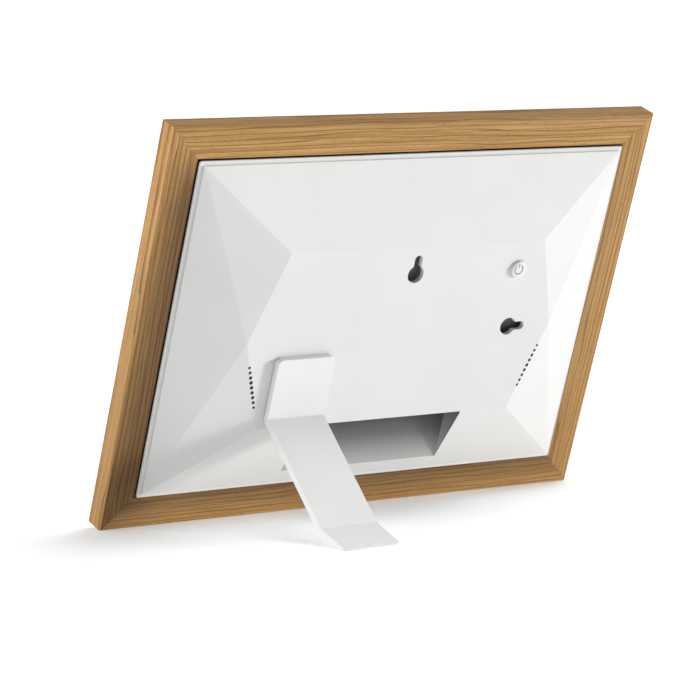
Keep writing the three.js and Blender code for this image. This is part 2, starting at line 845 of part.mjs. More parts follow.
function standGeometry() {
  const { bendZ, outerBend, heel, toe, instep } = standPoints();
  const topZ = pivotZ + standTopRise;
  const toeTop = [toe[0] - footTip * sinLean, toe[1] + footTip * cosLean];
  const side = shapeOf([
    [standInnerY, topZ],
    outerBend,
    heel,
    toe,
    toeTop,
    instep,
    [standOuterY, bendZ],
    [standOuterY, topZ],
  ]);
  const half = standWidth / 2;
  const plain = bar(side, -half, half);

  // the rounded outline seen from behind trims the two top corners
  const seen = new THREE.Shape();
  seen.moveTo(-half - 1, toe[1] - 40);
  seen.lineTo(half + 1, toe[1] - 40);
  seen.lineTo(half + 1, bendZ);
  seen.lineTo(half, bendZ);
  seen.absarc(half - standCorner, topZ - standCorner, standCorner, 0, Math.PI / 2, false);
  seen.absarc(standCorner - half, topZ - standCorner, standCorner, Math.PI / 2, Math.PI, false);
  seen.lineTo(-half, bendZ);
  seen.lineTo(-half - 1, bendZ);
  const trimmed = common(plain, plate(seen, standInnerY - 1, toe[0] + 5));

  // two small round corners at the toe, square to the floor
  const toeBlock = new THREE.Shape();
  const toeCorner = standCorner;
  toeBlock.moveTo(-half - 1, -200);
  toeBlock.lineTo(half + 1, -200);
  toeBlock.lineTo(half + 1, -toeCorner);
  toeBlock.lineTo(half, -toeCorner);
  toeBlock.absarc(half - toeCorner, -toeCorner, toeCorner, 0, Math.PI / 2, false);
  toeBlock.absarc(toeCorner - half, -toeCorner, toeCorner, Math.PI / 2, Math.PI, false);
  toeBlock.lineTo(-half - 1, -toeCorner);
  const block = new THREE.ExtrudeGeometry(toeBlock, {
    depth: 300,
    bevelEnabled: false,
    curveSegments: 8,
  });
  block.translate(0, 0, -50);
  block.rotateX(leanAngle);
  block.translate(0, toe[0], toe[1]);
  const rounded = common(trimmed, block);

  const bossEnd = innerFlatY - collarDepth - fitGap - frictionRingThickness;
  const boss = rod(pivotDiameter, bossEnd, standInnerY + 0.5, 0, pivotZ);
  const screwHole = rod(2.8, bossEnd - 1, standInnerY - 0.6, 0, pivotZ, smallSides);
  return { geometry: carved(rounded, { add: [boss], cut: [screwHole] }), bossEnd };
}

function addStand() {
  const turning = new THREE.Group();
  turning.position.set(pivotX, 0, 0);
  leaning.add(turning);

  const { geometry, bossEnd } = standGeometry();
  place("stand", geometry, whitePlastic, 0, 0, 0, turning);

  const frictionBack = innerFlatY - collarDepth - fitGap;
  const frictionRing = ring(collarDiameter, pivotDiameter + 2 * pivotClearance,
    frictionBack - frictionRingThickness, frictionBack);
  place("stand_friction_ring", frictionRing, nylon, pivotX, 0, pivotZ);

  const washerBack = bossEnd - fitGap;
  const washer = ring(washerDiameter, 3, washerBack - washerThickness, washerBack);
  place("stand_washer", washer, steel, 0, 0, pivotZ, turning);

  const headBack = washerBack - washerThickness - fitGap;
  const screw = screwGeometry(5.4, 1.7, 2.2, 6);
  place("stand_screw", screw, steel, 0, headBack - 1.7, pivotZ, turning);
}

// ---------------------------------------------------------------- build

addRails();
addClips();
addScreenStack();
addChassisScrews();
addBoard();
addBoardParts();
addPorts();
addRibbon();
addSound();
addRearCover();
addHangers();
addPowerButton();
addStand();

// lean the frame back; its box is centred on x = 0 and y = 0, its lowest edge is at z = 0
const { toe } = standPoints();
const frontY = -frameHalfZ * sinLean;
const backY = toe[0] * cosLean + toe[1] * sinLean;
leaning.rotation.x = -leanAngle;
leaning.position.set(0, -(frontY + backY) / 2, groupZ);

export default digitalPhotoFrame;
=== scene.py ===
import json
import math

import bmesh
import bpy
from mathutils import Matrix, Vector


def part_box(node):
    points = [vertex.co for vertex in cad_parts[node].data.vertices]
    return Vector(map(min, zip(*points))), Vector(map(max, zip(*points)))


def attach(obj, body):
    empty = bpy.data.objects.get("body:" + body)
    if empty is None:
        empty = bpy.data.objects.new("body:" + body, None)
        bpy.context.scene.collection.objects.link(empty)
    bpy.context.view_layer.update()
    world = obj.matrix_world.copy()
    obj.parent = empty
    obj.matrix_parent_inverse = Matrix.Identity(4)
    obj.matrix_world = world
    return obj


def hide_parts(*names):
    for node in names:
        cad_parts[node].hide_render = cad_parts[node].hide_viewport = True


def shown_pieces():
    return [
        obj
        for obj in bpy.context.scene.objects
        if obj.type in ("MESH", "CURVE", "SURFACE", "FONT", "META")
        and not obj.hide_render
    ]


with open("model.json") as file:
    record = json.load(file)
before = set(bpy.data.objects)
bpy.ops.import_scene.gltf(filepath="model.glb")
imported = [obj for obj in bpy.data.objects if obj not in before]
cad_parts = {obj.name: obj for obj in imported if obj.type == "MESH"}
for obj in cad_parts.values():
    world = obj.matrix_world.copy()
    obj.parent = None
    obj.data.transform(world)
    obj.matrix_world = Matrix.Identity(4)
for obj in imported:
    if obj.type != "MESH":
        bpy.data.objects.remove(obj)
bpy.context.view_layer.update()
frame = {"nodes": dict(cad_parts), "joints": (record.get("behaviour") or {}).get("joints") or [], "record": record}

# Lengths are in millimetres in the frame's own leaning axes: x to the right seen from the front, y
# from the front face towards the back, z up the picture from its middle. Materials, the camera's
# place, the lights and the floor are in metres.
MM = 0.001

# -------- sizes shared with the CAD part

PICTURE_HALF_X, PICTURE_HALF_Z = 108.5, 67.8
RAIL_DEPTH, RAIL_BACK, RAIL_FACE, RAIL_LIP = 11.1, 15.6, 19.0, 3.0
COVER_HALF_X, COVER_HALF_Z, COVER_GAP = 121.8, 84.05, 0.6
FRAME_HALF_X = COVER_HALF_X + COVER_GAP + RAIL_BACK
FRAME_HALF_Z = COVER_HALF_Z + COVER_GAP + RAIL_BACK

RIM_FLAT, RIM_Y, SKIRT_Y = 2.0, 13.1, 6.7
FLAT_Y = 27.5
WALL_DROP = 2.2
INNER_FLAT_Y = FLAT_Y - WALL_DROP
BASE_X, BASE_Z = COVER_HALF_X - RIM_FLAT, COVER_HALF_Z - RIM_FLAT
# how far in from the facets' base the corners of the six-sided flat lie
MIDDLE_INSET, END_INSET, TOP_DROP, BOTTOM_RISE = 31.8, 46.5, 38.45, 36.45
MIDDLE_X, MIDDLE_Z = BASE_X - MIDDLE_INSET, -0.7
END_X = BASE_X - END_INSET
TOP_CREASE, BOTTOM_CREASE = BASE_Z - TOP_DROP, BOTTOM_RISE - BASE_Z
BAY_HALF, BAY_WALL, BAY_HEIGHT = 45.6, 2.0, 30.8
BAY_BOTTOM = BOTTOM_CREASE - BAY_HEIGHT
BAY_FLOOR_Y = FLAT_Y - (FLAT_Y - RIM_Y) * BAY_HEIGHT / BOTTOM_RISE

STAND_INSET, PIVOT_RISE = 33.1, 21.6
PIVOT_X, PIVOT_Z = MIDDLE_X - STAND_INSET, BOTTOM_CREASE + PIVOT_RISE
PIVOT_R, PIVOT_CLEARANCE = 5.0, 0.5
STAND_HALF, STAND_THICK = 15.7, 3.4
BUTTON_INSET_X, BUTTON_INSET_Z, BUTTON_PROUD = 12.8, 14.6, 1.7
BUTTON_X, BUTTON_Z, BUTTON_R = BUTTON_INSET_X - END_X, TOP_CREASE - BUTTON_INSET_Z, 4.4
BUTTON_TOP = FLAT_Y + BUTTON_PROUD
KEYHOLE_R, SLOT_R, SLOT_TRAVEL = 4.4, 2.1, 7.5
KEYHOLE_DROP, KEYHOLE_INSET, SIDE_KEYHOLE_Z = 14.3, 25.3, -1.4
# the x and z of each keyhole's head, and the direction that its slot runs in
KEYHOLES = (
    (0.0, TOP_CREASE - KEYHOLE_DROP, 0.0, 1.0),
    (KEYHOLE_INSET - MIDDLE_X, SIDE_KEYHOLE_Z, -1.0, 0.0),
)

# -------- the leaning axes

turn_joint = next(joint for joint in frame["joints"] if joint["name"] == "stand_turn")
LEAN = math.atan2(-turn_joint["axis"][2], turn_joint["axis"][1])
PIVOT_LOCAL = Vector((PIVOT_X, FLAT_Y, PIVOT_Z)) * MM
TILT = Matrix.Rotation(-LEAN, 4, "X")
ORIGIN = Vector(turn_joint["pos_m"]) - TILT @ PIVOT_LOCAL
LEANING = Matrix.Translation(ORIGIN) @ TILT


# -------- mesh helpers

CORNERS = ((-1, -1), (1, -1), (1, 1), (-1, 1))

def add_object(name, bm, matrix):
    """Writes a bmesh drawn in millimetres as an object placed by a matrix."""
    bmesh.ops.recalc_face_normals(bm, faces=bm.faces)
    bmesh.ops.scale(bm, vec=(MM, MM, MM), verts=bm.verts)
    mesh = bpy.data.meshes.new(name)
    bm.to_mesh(mesh)
    bm.free()
    made = bpy.data.objects.new(name, mesh)
    bpy.context.scene.collection.objects.link(made)
    made.matrix_world = matrix
    return made


def mesh_object(name, bm, material, body, replaces=(), matrix=LEANING, smooth=35):
    """A piece that rides on a body. Edges sharper than smooth, in degrees, are shaded as sharp."""
    piece = add_object(name, bm, matrix)
    piece.data.materials.append(material)
    shade_smooth(piece, smooth)
    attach(piece, body)
    if replaces:
        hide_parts(*replaces)
    return piece


def shade_smooth(piece, angle):
    for polygon in piece.data.polygons:
        polygon.use_smooth = True
    piece.data.set_sharp_from_angle(angle=math.radians(angle))


def keep_flats(piece):
    """Shades large flat faces as flat, and only the narrow faces between them as round."""
    weighted = piece.modifiers.new("flat_faces", "WEIGHTED_NORMAL")
    weighted.keep_sharp = True
    weighted.weight = 100


def prism(outline, y0, y1):
    """A closed prism from an x, z outline between two depths."""
    bm = bmesh.new()
    near = [bm.verts.new((x, y0, z)) for x, z in outline]
    far = [bm.verts.new((x, y1, z)) for x, z in outline]
    bm.faces.new(near)
    bm.faces.new(reversed(far))
    count = len(outline)
    for i in range(count):
        j = (i + 1) % count
        bm.faces.new((near[j], near[i], far[i], far[j]))
    return bm


def loft(bm, rings, hoop=False):
    """Joins rings of points, each a list of the same length, into a closed skin: with a face at
    each end, or as a hoop whose last ring meets its first."""
    rows = [[bm.verts.new(point) for point in ring] for ring in rings]
    count = len(rows[0])
    for row, after in zip(rows, rows[1:] + rows[:hoop]):
        for i in range(count):
            j = (i + 1) % count
            bm.faces.new((row[i], row[j], after[j], after[i]))
    if not hoop:
        bm.faces.new(list(reversed(rows[0])))
        bm.faces.new(rows[-1])


def circle(x, z, radius, count):
    angles = [2 * math.pi * i / count for i in range(count)]
    return [(x + radius * math.cos(angle), z + radius * math.sin(angle)) for angle in angles]


def round_box(x0, x1, z0, z1, radius, steps=6):
    """A rectangle outline in x and z with round corners, anticlockwise."""
    outline = []
    corners = ((x1, z0, -90), (x1, z1, 0), (x0, z1, 90), (x0, z0, 180))
    for x, z, start in corners:
        cx = x - math.copysign(radius, x - (x0 + x1) / 2)
        cz = z - math.copysign(radius, z - (z0 + z1) / 2)
        for step in range(steps + 1):
            angle = math.radians(start + 90 * step / steps)
            outline.append((cx + radius * math.cos(angle), cz + radius * math.sin(angle)))
    return outline


def turned(bm, profile, count, x=0.0, z=0.0):
    """A solid turned about y from a radius, depth profile that starts and ends on the axis."""
    start = bm.verts.new((x, profile[0][1], z))
    end = bm.verts.new((x, profile[-1][1], z))
    rows = [
        [bm.verts.new((px, depth, pz)) for px, pz in circle(x, z, radius, count)]
        for radius, depth in profile[1:-1]
    ]
    for i in range(count):
        j = (i + 1) % count
        bm.faces.new((start, rows[0][j], rows[0][i]))
        bm.faces.new((end, rows[-1][i], rows[-1][j]))
        for row, after in zip(rows, rows[1:]):
            bm.faces.new((row[i], row[j], after[j], after[i]))


def apply_modifiers(piece):
    graph = bpy.context.evaluated_depsgraph_get()
    made = bpy.data.meshes.new_from_object(piece.evaluated_get(graph))
    old = piece.data
    piece.modifiers.clear()
    piece.data = made
    bpy.data.meshes.remove(old)


def combine(piece, other, operation):
    """Cuts another object from a piece, joins it on or keeps what they share, and removes it."""
    modifier = piece.modifiers.new("combine", "BOOLEAN")
    modifier.operation = operation
    modifier.solver = "EXACT"
    modifier.object = other
    apply_modifiers(piece)
    mesh = other.data
    bpy.data.objects.remove(other)
    bpy.data.meshes.remove(mesh)


def carve(piece, cutters, operation="DIFFERENCE"):
    """Combines a piece with each bmesh in turn, drawn in the piece's own axes."""
    for number, bm in enumerate(cutters):
        cutter = add_object(f"cutter_{number}", bm, piece.matrix_world)
        bpy.context.view_layer.update()
        combine(piece, cutter, operation)


def settle_pieces():
    """Moves each piece's place into its mesh, so its box in the row frame is a tight one."""
    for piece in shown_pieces():
        if not piece.matrix_world.is_identity:
            piece.data.transform(piece.matrix_world)
            piece.matrix_world = Matrix.Identity(4)
    bpy.context.view_layer.update()


# -------- material helpers


def new_material(name, color, roughness, metallic=0.0):
    material = bpy.data.materials.new(name)
    material.use_nodes = True
    shader = material.node_tree.nodes["Principled BSDF"]
    shader.inputs["Base Color"].default_value = (*color, 1)
    shader.inputs["Roughness"].default_value = roughness
    shader.inputs["Metallic"].default_value = metallic
    return material, shader


class Nodes:
    """Short calls for building the node tree of one material, or of the world."""

    def __init__(self, owner):
        self.tree = owner.node_tree
        self.shader = self.tree.nodes.get("Principled BSDF")

    def add(self, kind, **values):
        node = self.tree.nodes.new(kind)
        for key, value in values.items():
            setattr(node, key, value)
        return node

    def link(self, source, target):
        self.tree.links.new(source, target)

    def position(self):
        """The place on the piece, in metres."""
        return self.add("ShaderNodeTexCoord").outputs["Object"]

    def leaning_position(self):
        """The place in the frame's own leaning axes, in metres."""
        inverse = LEANING.inverted()
        node = self.add("ShaderNodeMapping")
        node.inputs["Rotation"].default_value = inverse.to_euler()
        node.inputs["Location"].default_value = inverse.translation
        self.link(self.position(), node.inputs["Vector"])
        return node.outputs["Vector"]

    def attribute(self, name, output="Vector"):
        node = self.add("ShaderNodeAttribute", attribute_name=name)
        return node.outputs[output]

    def split(self, vector):
        """The X, Y and Z outputs of a vector."""
        node = self.add("ShaderNodeSeparateXYZ")
        self.link(vector, node.inputs["Vector"])
        return node.outputs

    def scaled(self, vector, scale):
        node = self.add("ShaderNodeMapping")
        node.inputs["Scale"].default_value = scale
        self.link(vector, node.inputs["Vector"])
        return node.outputs["Vector"]

    def grain(self, plank, along, across, detail=2.0, roughness=0.5):
        """Noise drawn out along a plank, with this many waves per metre each way."""
        return self.noise(self.scaled(plank, (along, across, across)), 1.0, detail, roughness)

    def noise(self, vector, scale, detail=2.0, roughness=0.5):
        node = self.add("ShaderNodeTexNoise")
        node.inputs["Scale"].default_value = scale
        node.inputs["Detail"].default_value = detail
        node.inputs["Roughness"].default_value = roughness
        self.link(vector, node.inputs["Vector"])
        return node.outputs["Fac"]

    def ramp(self, value, stops):
        node = self.add("ShaderNodeValToRGB")
        elements = node.color_ramp.elements
        while len(elements) < len(stops):
            elements.new(0.5)
        for element, (place, color) in zip(elements, stops):
            element.position = place
            element.color = (*color, 1)
        self.link(value, node.inputs["Fac"])
        return node.outputs["Color"]

    def span(self, value, from_low, from_high, low, high):
        """Carries a value from one range to another, held at its ends."""
        node = self.add("ShaderNodeMapRange")
        numbers = {"From Min": from_low, "From Max": from_high, "To Min": low, "To Max": high}
        for key, number in numbers.items():
            node.inputs[key].default_value = number
        self.link(value, node.inputs["Value"])
        return node.outputs["Result"]

    def math(self, operation, first, second):
        node = self.add("ShaderNodeMath", operation=operation)
        for slot, value in ((0, first), (1, second)):
            if isinstance(value, (int, float)):
                node.inputs[slot].default_value = value
            else:
                self.link(value, node.inputs[slot])
        return node.outputs["Value"]

    def mix(self, factor, first, second, blend="MIX"):
        node = self.add("ShaderNodeMix", data_type="RGBA", blend_type=blend)
        sockets = {"Factor": factor, "A": first, "B": second}
        for socket in node.inputs:
            if not socket.enabled:
                continue
            value = sockets[socket.name]
            if isinstance(value, (int, float)):
                socket.default_value = value
            elif isinstance(value, tuple):
                socket.default_value = (*value, 1)
            else:
                self.link(value, socket)
        return next(out for out in node.outputs if out.enabled)

    def bump(self, height, strength, distance):
        node = self.add("ShaderNodeBump")
        node.inputs["Strength"].default_value = strength
        node.inputs["Distance"].default_value = distance
        self.link(height, node.inputs["Height"])
        return node.outputs["Normal"]

    def color(self, value):
        self.link(value, self.shader.inputs["Base Color"])

    def roughness(self, value):
        self.link(value, self.shader.inputs["Roughness"])

    def normal(self, value):
        self.link(value, self.shader.inputs["Normal"])


# -------- materials

RING_PITCH = 0.0025
RING_SLANT = 0.45  # how far the rings lean over from the front to the back of a rail
PALE_OAK, GOLD_OAK, BROWN_OAK = (0.68, 0.42, 0.175), (0.56, 0.305, 0.1), (0.34, 0.165, 0.045)
DRIFT_OAK, RING_OAK = (0.56, 0.32, 0.105), (0.15, 0.066, 0.019)
FIBRE_OAK, PORE_OAK = (0.25, 0.12, 0.035), (0.13, 0.062, 0.02)
# painted shade: the dark colour that the oak is drawn towards where the rails carry painted shade
PAINTED_SHADE_OAK = (0.25, 0.235, 0.24)


def oak_material():
    """Oiled oak, with its grain along the plank attribute's x, in metres, darkened by the painted shade that each
    rail carries.
    """
    material, shader = new_material("oiled_oak", (0.46, 0.27, 0.12), 0.5)
    shader.inputs["Specular IOR Level"].default_value = 0.22
    n = Nodes(material)
    plank = n.attribute("plank")
    across = n.split(plank)
    # growth rings: a sharp dark line that fades into pale wood, on slowly wandering planes
    wander = n.grain(plank, 5, 40, 3.0, 0.55)
    uneven = n.grain(plank, 1.5, 190)
    place = n.math("ADD", across["Y"], n.math("MULTIPLY", across["Z"], RING_SLANT))
    place = n.math("ADD", place, n.span(wander, 0.2, 0.8, -0.0035, 0.0035))
    place = n.math("ADD", place, n.span(uneven, 0.2, 0.8, -0.0016, 0.0016))
    ring = n.math("FRACT", n.math("MULTIPLY", place, 1 / RING_PITCH), 0)
    line = n.ramp(
        ring, [(0.0, (1, 1, 1)), (0.1, (0.6, 0.6, 0.6)), (0.32, (0, 0, 0)), (0.93, (0.1, 0.1, 0.1))]
    )
    # streaks, fibres and open pores, each drawn out along the grain
    drift = n.grain(plank, 4, 70)
    streak = n.grain(plank, 9, 750, 4.0, 0.65)
    fibre = n.grain(plank, 45, 2100, 3.0, 0.65)
    pores = n.grain(plank, 330, 3600)
    pore = n.span(pores, 0.6, 0.68, 0, 1)

    base = n.ramp(streak, [(0.3, BROWN_OAK), (0.47, GOLD_OAK), (0.66, PALE_OAK)])
    base = n.mix(n.span(drift, 0.3, 0.7, 0, 0.35), base, DRIFT_OAK)
    lined = n.mix(n.math("MULTIPLY", line, 0.88), base, RING_OAK)
    fibred = n.mix(n.span(fibre, 0.4, 0.66, 0.0, 0.42), lined, FIBRE_OAK)
    pored = n.mix(n.math("MULTIPLY", pore, 0.5), fibred, PORE_OAK)
    # painted shade: the oak is darkened where each rail carries its painted shadows and darker sides
    n.color(n.mix(n.attribute("shade_tone", "Fac"), pored, PAINTED_SHADE_OAK, "MULTIPLY"))
    n.roughness(n.span(fibre, 0.3, 0.7, 0.52, 0.7))
    relief = n.math("SUBTRACT", n.math("MULTIPLY", fibre, 0.4), n.math("MULTIPLY", pore, 0.6))
    n.normal(n.bump(relief, 0.4, 0.00015))
    return material


def moulded_plastic(name, color, roughness, grain_mm=0.45, depth=0.00003):
    """Moulded plastic with a fine spark-eroded texture, its relief given in metres."""
    material, shader = new_material(name, color, roughness)
    shader.inputs["Specular IOR Level"].default_value = 0.4
    n = Nodes(material)
    place = n.position()
    spark = n.noise(place, 1 / (grain_mm * MM), 2.0, 0.6)
    cloud = n.noise(place, 22, 2.0)
    shade = tuple(channel * 0.965 for channel in color)
    n.color(n.mix(n.span(cloud, 0.3, 0.7, 0, 1), color, shade))
    n.roughness(n.span(spark, 0.3, 0.7, roughness - 0.06, roughness + 0.06))
    n.normal(n.bump(spark, 0.3, depth))
    return material


def bay_shade_material(name, low, middle, high):
    """The port bay's coarse grey surface with painted shade that darkens it upwards, darkest up beside the ports.
    """
    material, _ = new_material(name, middle, 0.65)
    n = Nodes(material)
    place = n.leaning_position()
    # painted shade: darker the higher up the bay
    height = n.span(n.split(place)["Z"], BAY_BOTTOM * MM, BOTTOM_CREASE * MM, 0, 1)
    spark = n.noise(place, 1900, 2.0, 0.6)
    speckled = n.math("ADD", height, n.span(spark, 0.2, 0.8, -0.09, 0.09))
    n.color(n.ramp(speckled, [(0.05, low), (0.5, middle), (0.93, high)]))
    n.roughness(n.span(spark, 0.3, 0.7, 0.58, 0.72))
    n.normal(n.bump(spark, 0.4, 0.00006))
    return material


BRUSH_LINES = (60, 60, 2400)  # waves per metre along each axis


def metal(name, color, roughness):
    """Metal with fine drawn lines and a little uneven tarnish."""
    material, _ = new_material(name, color, roughness, 1.0)
    n = Nodes(material)
    place = n.position()
    lines = n.noise(n.scaled(place, BRUSH_LINES), 1.0, 3.0)
    tarnish = n.noise(place, 90, 3.0)
    dull = tuple(channel * 0.72 for channel in color)
    n.color(n.mix(n.span(tarnish, 0.35, 0.7, 0, 1), color, dull))
    n.roughness(n.span(lines, 0.3, 0.7, roughness - 0.08, roughness + 0.1))
    n.normal(n.bump(lines, 0.15, 0.00002))
    return material


def glass_material():
    """Clear float glass with the faintest smears."""
    material, shader = new_material("clear_glass", (0.985, 0.995, 0.99), 0.03)
    shader.inputs["Transmission Weight"].default_value = 1.0
    shader.inputs["IOR"].default_value = 1.5
    n = Nodes(material)
    smear = n.noise(n.position(), 30, 3.0, 0.6)
    n.roughness(n.span(smear, 0.45, 0.75, 0.01, 0.06))
    return material


def screen_material():
    """A dark screen that is off, with a faint cloudy sheen in its polariser."""
    material, shader = new_material("screen", (0.012, 0.013, 0.016), 0.28)
    shader.inputs["Coat Weight"].default_value = 0.4
    n = Nodes(material)
    place = n.position()
    cloud = n.noise(place, 25, 3.0)
    n.color(n.mix(n.span(cloud, 0.3, 0.7, 0, 1), (0.014, 0.015, 0.019), (0.009, 0.01, 0.013)))
    n.roughness(n.span(n.noise(place, 60, 2.0), 0.3, 0.7, 0.24, 0.32))
    return material


def card_material():
    """Off-white mount card with a fine fibrous tooth."""
    material, _ = new_material("mat_card", (0.83, 0.82, 0.785), 0.9)
    n = Nodes(material)
    place = n.position()
    fibre = n.noise(place, 1400, 3.0, 0.6)
    cloud = n.noise(place, 60, 2.0)
    n.color(n.mix(n.span(cloud, 0.3, 0.7, 0, 1), (0.84, 0.83, 0.8), (0.79, 0.78, 0.74)))
    n.roughness(n.span(fibre, 0.3, 0.7, 0.82, 0.96))
    n.normal(n.bump(fibre, 0.3, 0.00003))
    return material


def board_material():
    """Green solder mask with faint copper tracks under it."""
    material, shader = new_material("circuit_board", (0.02, 0.12, 0.05), 0.35)
    shader.inputs["Coat Weight"].default_value = 0.3
    n = Nodes(material)
    place = n.position()
    tracks = n.add("ShaderNodeTexVoronoi", feature="DISTANCE_TO_EDGE", distance="MANHATTAN")
    tracks.inputs["Scale"].default_value = 320
    n.link(place, tracks.inputs["Vector"])
    lines = n.span(tracks.outputs["Distance"], 0.02, 0.06, 1, 0)
    n.color(n.mix(n.math("MULTIPLY", lines, 0.6), (0.015, 0.11, 0.045), (0.05, 0.24, 0.09)))
    n.roughness(n.span(n.noise(place, 300, 2.0), 0.3, 0.7, 0.28, 0.42))
    n.normal(n.bump(lines, 0.3, 0.00003))
    return material


THREAD_WAVE = 0.0004
TRACK_WAVE = 0.001


def waves_at(length):
    """What a place in metres is multiplied by for a sine of this wavelength."""
    return 2 * math.pi / length


def cloth_material():
    """Fine woven acoustic cloth, drawn as two sets of threads."""
    material, _ = new_material("acoustic_cloth", (0.03, 0.03, 0.033), 0.95)
    n = Nodes(material)
    place = n.split(n.leaning_position())
    warp = n.math("SINE", n.math("MULTIPLY", place["X"], waves_at(THREAD_WAVE)), 0)
    weft = n.math("SINE", n.math("MULTIPLY", place["Z"], waves_at(THREAD_WAVE)), 0)
    weave = n.math("MULTIPLY", warp, weft)
    n.color(n.mix(n.span(weave, -1, 1, 0, 1), (0.018, 0.018, 0.02), (0.055, 0.055, 0.06)))
    n.roughness(n.span(weave, -1, 1, 0.85, 0.98))
    n.normal(n.bump(weave, 0.4, 0.00005))
    return material


def ribbon_material():
    """Flat ribbon of clear plastic with its copper tracks showing through."""
    material, _ = new_material("ribbon_plastic", (0.6, 0.56, 0.46), 0.45)
    n = Nodes(material)
    across = n.math("MULTIPLY", n.split(n.position())["X"], waves_at(TRACK_WAVE))
    wave = n.math("SINE", across, 0)
    track = n.span(wave, 0.2, 0.5, 0, 1)
    n.color(n.mix(track, (0.62, 0.58, 0.48), (0.35, 0.3, 0.2)))
    n.roughness(n.span(wave, -1, 1, 0.35, 0.55))
    n.normal(n.bump(track, 0.2, 0.00003))
    return material


OAK = oak_material()
WHITE = moulded_plastic("white_moulding", (0.735, 0.732, 0.72), 0.5)
STAND_WHITE = moulded_plastic("stand_moulding", (0.79, 0.788, 0.78), 0.5)
# painted shade: the bay's inside darkens towards its top, and its side walls are a lighter shaded copy
BAY_SHADE = bay_shade_material(
    "bay_painted_shade", (0.42, 0.42, 0.415), (0.125, 0.125, 0.125), (0.016, 0.016, 0.017)
)
BAY_SIDE_SHADE = bay_shade_material("bay_side_painted_shade", (0.6, 0.6, 0.59), (0.42, 0.42, 0.415), (0.2, 0.2, 0.2))
BUTTON = moulded_plastic("button_moulding", (0.77, 0.77, 0.765), 0.4, 0.3, 0.00001)
MARK = moulded_plastic("grey_mark", (0.3, 0.3, 0.3), 0.6, 0.3, 0.00001)
BLACK = moulded_plastic("black_plastic", (0.02, 0.02, 0.021), 0.5, 0.4, 0.00002)
# painted shadow: near-black, for the strip that stands in for the shade in the gap round the cover
GAP_SHADE = moulded_plastic("black_gap_shade", (0.012, 0.012, 0.012), 0.9, 0.8, 0.0001)
NYLON = moulded_plastic("nylon", (0.68, 0.66, 0.6), 0.5, 0.4, 0.00002)
STEEL = metal("steel", (0.55, 0.56, 0.58), 0.36)
DARK_STEEL = moulded_plastic("grey_primed_steel", (0.2, 0.2, 0.204), 0.5, 0.4, 0.00002)
BRASS = metal("brass", (0.6, 0.45, 0.18), 0.32)
GLASS = glass_material()
SCREEN = screen_material()
CARD = card_material()
BOARD = board_material()
CLOTH = cloth_material()
RIBBON = ribbon_material()

BY_SLOT = {
    "oak": OAK,
    "clear_glass": GLASS,
    "mat_card": CARD,
    "screen_glass": SCREEN,
    "white_plastic": WHITE,
    "button_plastic": BUTTON,
    "steel": STEEL,
    "dark_steel": DARK_STEEL,
    "brass": BRASS,
    "circuit_board": BOARD,
    "black_plastic": BLACK,
    "nylon": NYLON,
    "acoustic_cloth": CLOTH,
    "ribbon_plastic": RIBBON,
}


def dress_cad_nodes():
    """Gives each CAD node the material of its slot."""
    for row in frame["record"]["subparts"]:
        node = frame["nodes"][row["node"]]
        node.data.materials.clear()
        node.data.materials.append(BY_SLOT[row["material_slot"]])


# -------- oak rails

RAIL_ROUND = 1.0
LIP_ROUND = 0.5
ROUND_STEPS = 5
MITRE_JOINT = 0.05
RAIL_STATIONS = 13  # places along a rail where its painted shade is set
TONE_PLACES = (12.0, 8.0, 4.0)  # and places across its back, in from its outer edge


def rail_section():
    """Distance in from the outer edge against depth, with its corners rounded."""
    corners = (
        (0, 0, RAIL_ROUND),
        (RAIL_FACE, 0, RAIL_ROUND),
        (RAIL_FACE, RAIL_LIP, 0),
        (RAIL_BACK, RAIL_LIP, 0),
        (RAIL_BACK, RAIL_DEPTH, LIP_ROUND),
        *((inward, RAIL_DEPTH, 0) for inward in TONE_PLACES),
        (0, RAIL_DEPTH, RAIL_ROUND),
    )
    section = []
    count = len(corners)
    for index, (inward, depth, radius) in enumerate(corners):
        if radius == 0:
            section.append((inward, depth))
            continue
        here = Vector((inward, depth))
        before = (Vector(corners[index - 1][:2]) - here).normalized()
        after = (Vector(corners[(index + 1) % count][:2]) - here).normalized()
        centre = here + (before + after) * radius
        for step in range(ROUND_STEPS + 1):
            angle = math.pi / 2 * step / ROUND_STEPS
            point = centre - after * radius * math.cos(angle) - before * radius * math.sin(angle)
            section.append(tuple(point))
    return section


# How much painted shade darkens each rail, from 0 to 1, on its outer side and on its back at the outer and the
# inner edge: the cover's and the lip's shadows painted on the backs towards the cover, and a darker top side. The
# right rail is not in the table: its painted shadow of the cover darkens it from its top downwards.
RAIL_SHADE_TONES = {
    "oak_rail_top": (0.38, 0.22, 0.07),
    "oak_rail_left": (0.05, 0.08, 0.28),
    "oak_rail_bottom": (0.2, 0.0, 0.85),
}
# an even darkening on the faces that are neither the back nor the outer side, and the most that painted shade may
# darken
FRONT_TONE, DARKEST_TONE = 0.1, 0.9
CORNER_SHADE_TONE, CORNER_SHARE = 0.4, 0.12  # painted shadow on the bottom rail's end beside the right rail
# the right rail's painted shadow of the cover: on its outer side, how far down that starts, and on its back
RIGHT_SIDE_TONE, RIGHT_SIDE_START, RIGHT_BACK_TONE = 0.2, 0.25, 0.75
FADE_SHARE = 0.15  # how much of the right rail its painted shade takes to come in
SIDE_BAND, BACK_BAND = 0.5, 1.5  # how wide the outer side and the back are taken to be


